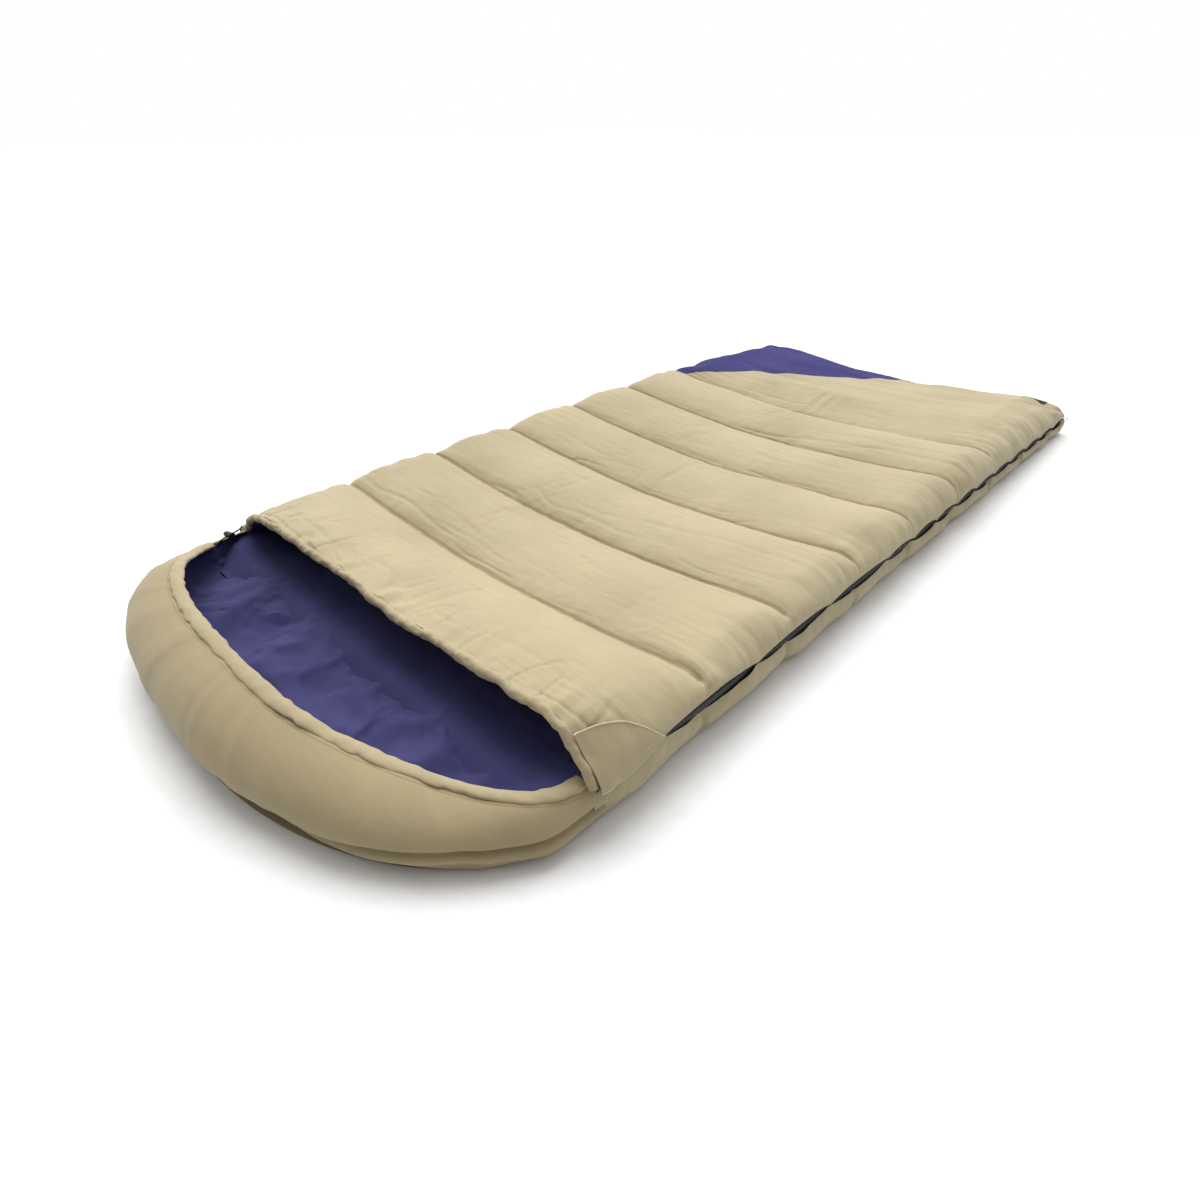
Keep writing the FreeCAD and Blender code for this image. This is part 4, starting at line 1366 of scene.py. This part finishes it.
def braid_material(name, dark, light, scale):
    """Braided cord, or hooks and loops: two sets of threads that cross."""
    nodes = Nodes(name)
    threads = nodes.product(nodes.wave(scale, "DIAGONAL", 1.5), nodes.wave(scale, "Z", 1.0))
    color = nodes.ramp(threads, dark, light, 0.0, 0.6)
    return nodes.surface(color, nodes.bump(threads, 0.6, 0.0005), nodes.noise(500.0), (0.6, 0.85), {})


CORD = braid_material("braided_cord", rgb(22, 22, 26), rgb(52, 52, 60), 240.0)


def build_tail():
    data = bpy.data.curves.new("drawcord_tail_cord", "CURVE")
    data.dimensions = "3D"
    data.bevel_depth = CORD_RADIUS * MM
    data.bevel_resolution = 4
    data.resolution_u = 10
    spline = data.splines.new("NURBS")
    spline.points.add(len(TAIL_ROUTE) - 1)
    for point, spot in zip(spline.points, place(TAIL_ROUTE)):
        point.co = (*spot, 1.0)
    spline.order_u = 3
    spline.use_endpoint_u = True
    data.materials.append(CORD)
    return add_object("drawcord_tail_cord", data)


def build_knot():
    """Overhand knot, pulled tight, at the end of the tail."""
    lowest, highest = (np.array(corner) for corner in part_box("drawcord_knot"))
    turn = np.linspace(0, 2 * math.pi, 73)
    path = KNOT_SCALE * spots(np.sin(turn) + 2 * np.sin(2 * turn),
                              np.cos(turn) - 2 * np.cos(2 * turn), -np.sin(3 * turn))
    path += (lowest + highest) / 2 / MM - (CENTRE_X, MOUTH_Y, 0)
    along = unit(np.gradient(path, axis=0))
    side = unit(np.cross(along, UP))
    rings = tube_grid(path, side, np.cross(along, side), (1.3, 1.3), 0.0, 12)
    obj = grid_object("drawcord_end_knot", rings, CORD, close_across=True)
    with editing(obj) as shape:
        bmesh.ops.remove_doubles(shape, verts=shape.verts[:], dist=0.05 * MM)
    return obj


SPRING_REACH = (2.7, 7.1)       # along the lock's barrel, from the button to the barrel's floor
SPRING_TURNS = 4
SPRING_RADIUS = 2.75
SPRING_WIRE = 0.3
LOCK_CENTRE = np.array([-0.46769, -0.85222, 0.0967])
LOCK_AXIS = np.array([0.96421, 0.26516, 0.0])
STEEL = hard_material("spring_wire", rgb(150, 150, 154), rgb(190, 190, 196), 1.0, (0.15, 0.3), 800.0, 0.0001)


def build_spring():
    """Coil spring behind the cord lock's button."""
    count = 24 * SPRING_TURNS + 1
    turn = np.linspace(0, 2 * math.pi * SPRING_TURNS, count)[:, None]
    run = np.linspace(SPRING_REACH[0] + SPRING_WIRE, SPRING_REACH[1] - SPRING_WIRE, count)[:, None]
    outward = np.cos(turn) * np.cross(LOCK_AXIS, UP) + np.sin(turn) * UP
    centre = LOCK_CENTRE / MM - (CENTRE_X, MOUTH_Y, 0)
    path = centre + run * LOCK_AXIS + SPRING_RADIUS * outward
    along = np.cross(unit(np.gradient(path, axis=0)), outward)
    return tube_object("cord_lock_spring_coil", path, outward, along, (SPRING_WIRE, SPRING_WIRE), STEEL,
                       sides=8)


spring = build_spring()
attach(spring, "cord_lock")
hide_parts("cord_lock_spring")
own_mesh(spring)

tail, knot = build_tail(), build_knot()
for piece, node in ((tail, "drawcord_tail"), (knot, "drawcord_knot")):
    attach(piece, "hood")
    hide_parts(node)
tuple(place(TAIL_ROUTE[0]))


# Hard pieces that keep the shape they have in the frame

SLIDER = hard_material("slider_enamel", rgb(26, 26, 30), rgb(44, 44, 50), 0.6, (0.28, 0.5), 600.0, 0.0002)
PULL = hard_material("pull_steel", rgb(120, 120, 126), rgb(168, 168, 174), 1.0, (0.2, 0.42), 900.0, 0.0001)
STOP = hard_material("stop_steel", rgb(90, 90, 94), rgb(140, 140, 146), 1.0, (0.3, 0.5), 700.0, 0.0001)
LOCK = hard_material("lock_moulding", rgb(20, 20, 23), rgb(34, 34, 38), 0.0, (0.38, 0.6), 1200.0, 0.0002)
HOOKS = braid_material("hook_and_loop", rgb(120, 106, 78), rgb(170, 154, 120), 330.0)

HARD_NODES = {
    "head_slider": SLIDER, "foot_slider": SLIDER, "foot_zip_slider": SLIDER,
    "head_slider_pull": SLIDER, "foot_slider_pull": PULL, "foot_zip_slider_pull": PULL,
    "side_zip_stops": STOP, "cord_lock_body": LOCK, "cord_lock_button": LOCK,
    "tab_hook_patch": HOOKS, "tab_loop_patch": HOOKS, "drawcord": CORD,
}
for node, material in HARD_NODES.items():
    for material_slot in bpy.data.objects[node].material_slots:
        material_slot.material = material


# Floor and light

FLOOR_HALF = 30.0                        # metres
SUN_WAY = (0.42, -0.34, -0.84)
SUN_STRENGTH = 3.0
SUN_SPREAD = 50.0                        # degrees; a wide sun gives soft shadows
SKY_BRIGHT = (-0.543, 0.741, 0.395)      # towards the bright side of the studio
SKY_DARK_SHARE = 0.25


def build_floor():
    nodes = Nodes("floor_paper")
    white = nodes.ramp(nodes.noise(40.0, 2.0), (0.8, 0.8, 0.8, 1), (0.83, 0.83, 0.83, 1))
    nodes.put(nodes.shader, {"Base Color": white, "Roughness": 0.9})
    corners = [(a * FLOOR_HALF, b * FLOOR_HALF, 0) for a, b in ((-1, -1), (1, -1), (1, 1), (-1, 1))]
    mesh_object("floor", corners, [(0, 1, 2, 3)], nodes.material)


def build_sun():
    data = bpy.data.lights.new("key_light", "SUN")
    data.energy = SUN_STRENGTH
    data.angle = math.radians(SUN_SPREAD)
    light = add_object("key_light", data)
    light.rotation_mode = "QUATERNION"
    light.rotation_quaternion = Vector(SUN_WAY).to_track_quat("-Z", "Y")


def build_world():
    """White studio, darker towards the side that the bag's hood faces."""
    world = bpy.data.worlds.new("studio")
    world.use_nodes = True
    tree = world.node_tree
    ray = tree.nodes.new("ShaderNodeTexCoord")
    toward = tree.nodes.new("ShaderNodeVectorMath")
    toward.operation = "DOT_PRODUCT"
    toward.inputs[1].default_value = SKY_BRIGHT
    level = tree.nodes.new("ShaderNodeMapRange")
    level.interpolation_type = "SMOOTHSTEP"
    limits = {"From Min": -0.3, "From Max": 0.35, "To Min": SKY_DARK_SHARE, "To Max": 1.0}
    for name, value in limits.items():
        level.inputs[name].default_value = value
    background = tree.nodes["Background"]
    background.inputs["Color"].default_value = (1, 1, 1, 1)
    tree.links.new(ray.outputs["Generated"], toward.inputs[0])
    tree.links.new(toward.outputs["Value"], level.inputs["Value"])
    tree.links.new(level.outputs["Result"], background.inputs["Strength"])
    bpy.context.scene.world = world


build_floor()
build_sun()
build_world()
bpy.context.scene.view_settings.view_transform = "Standard"
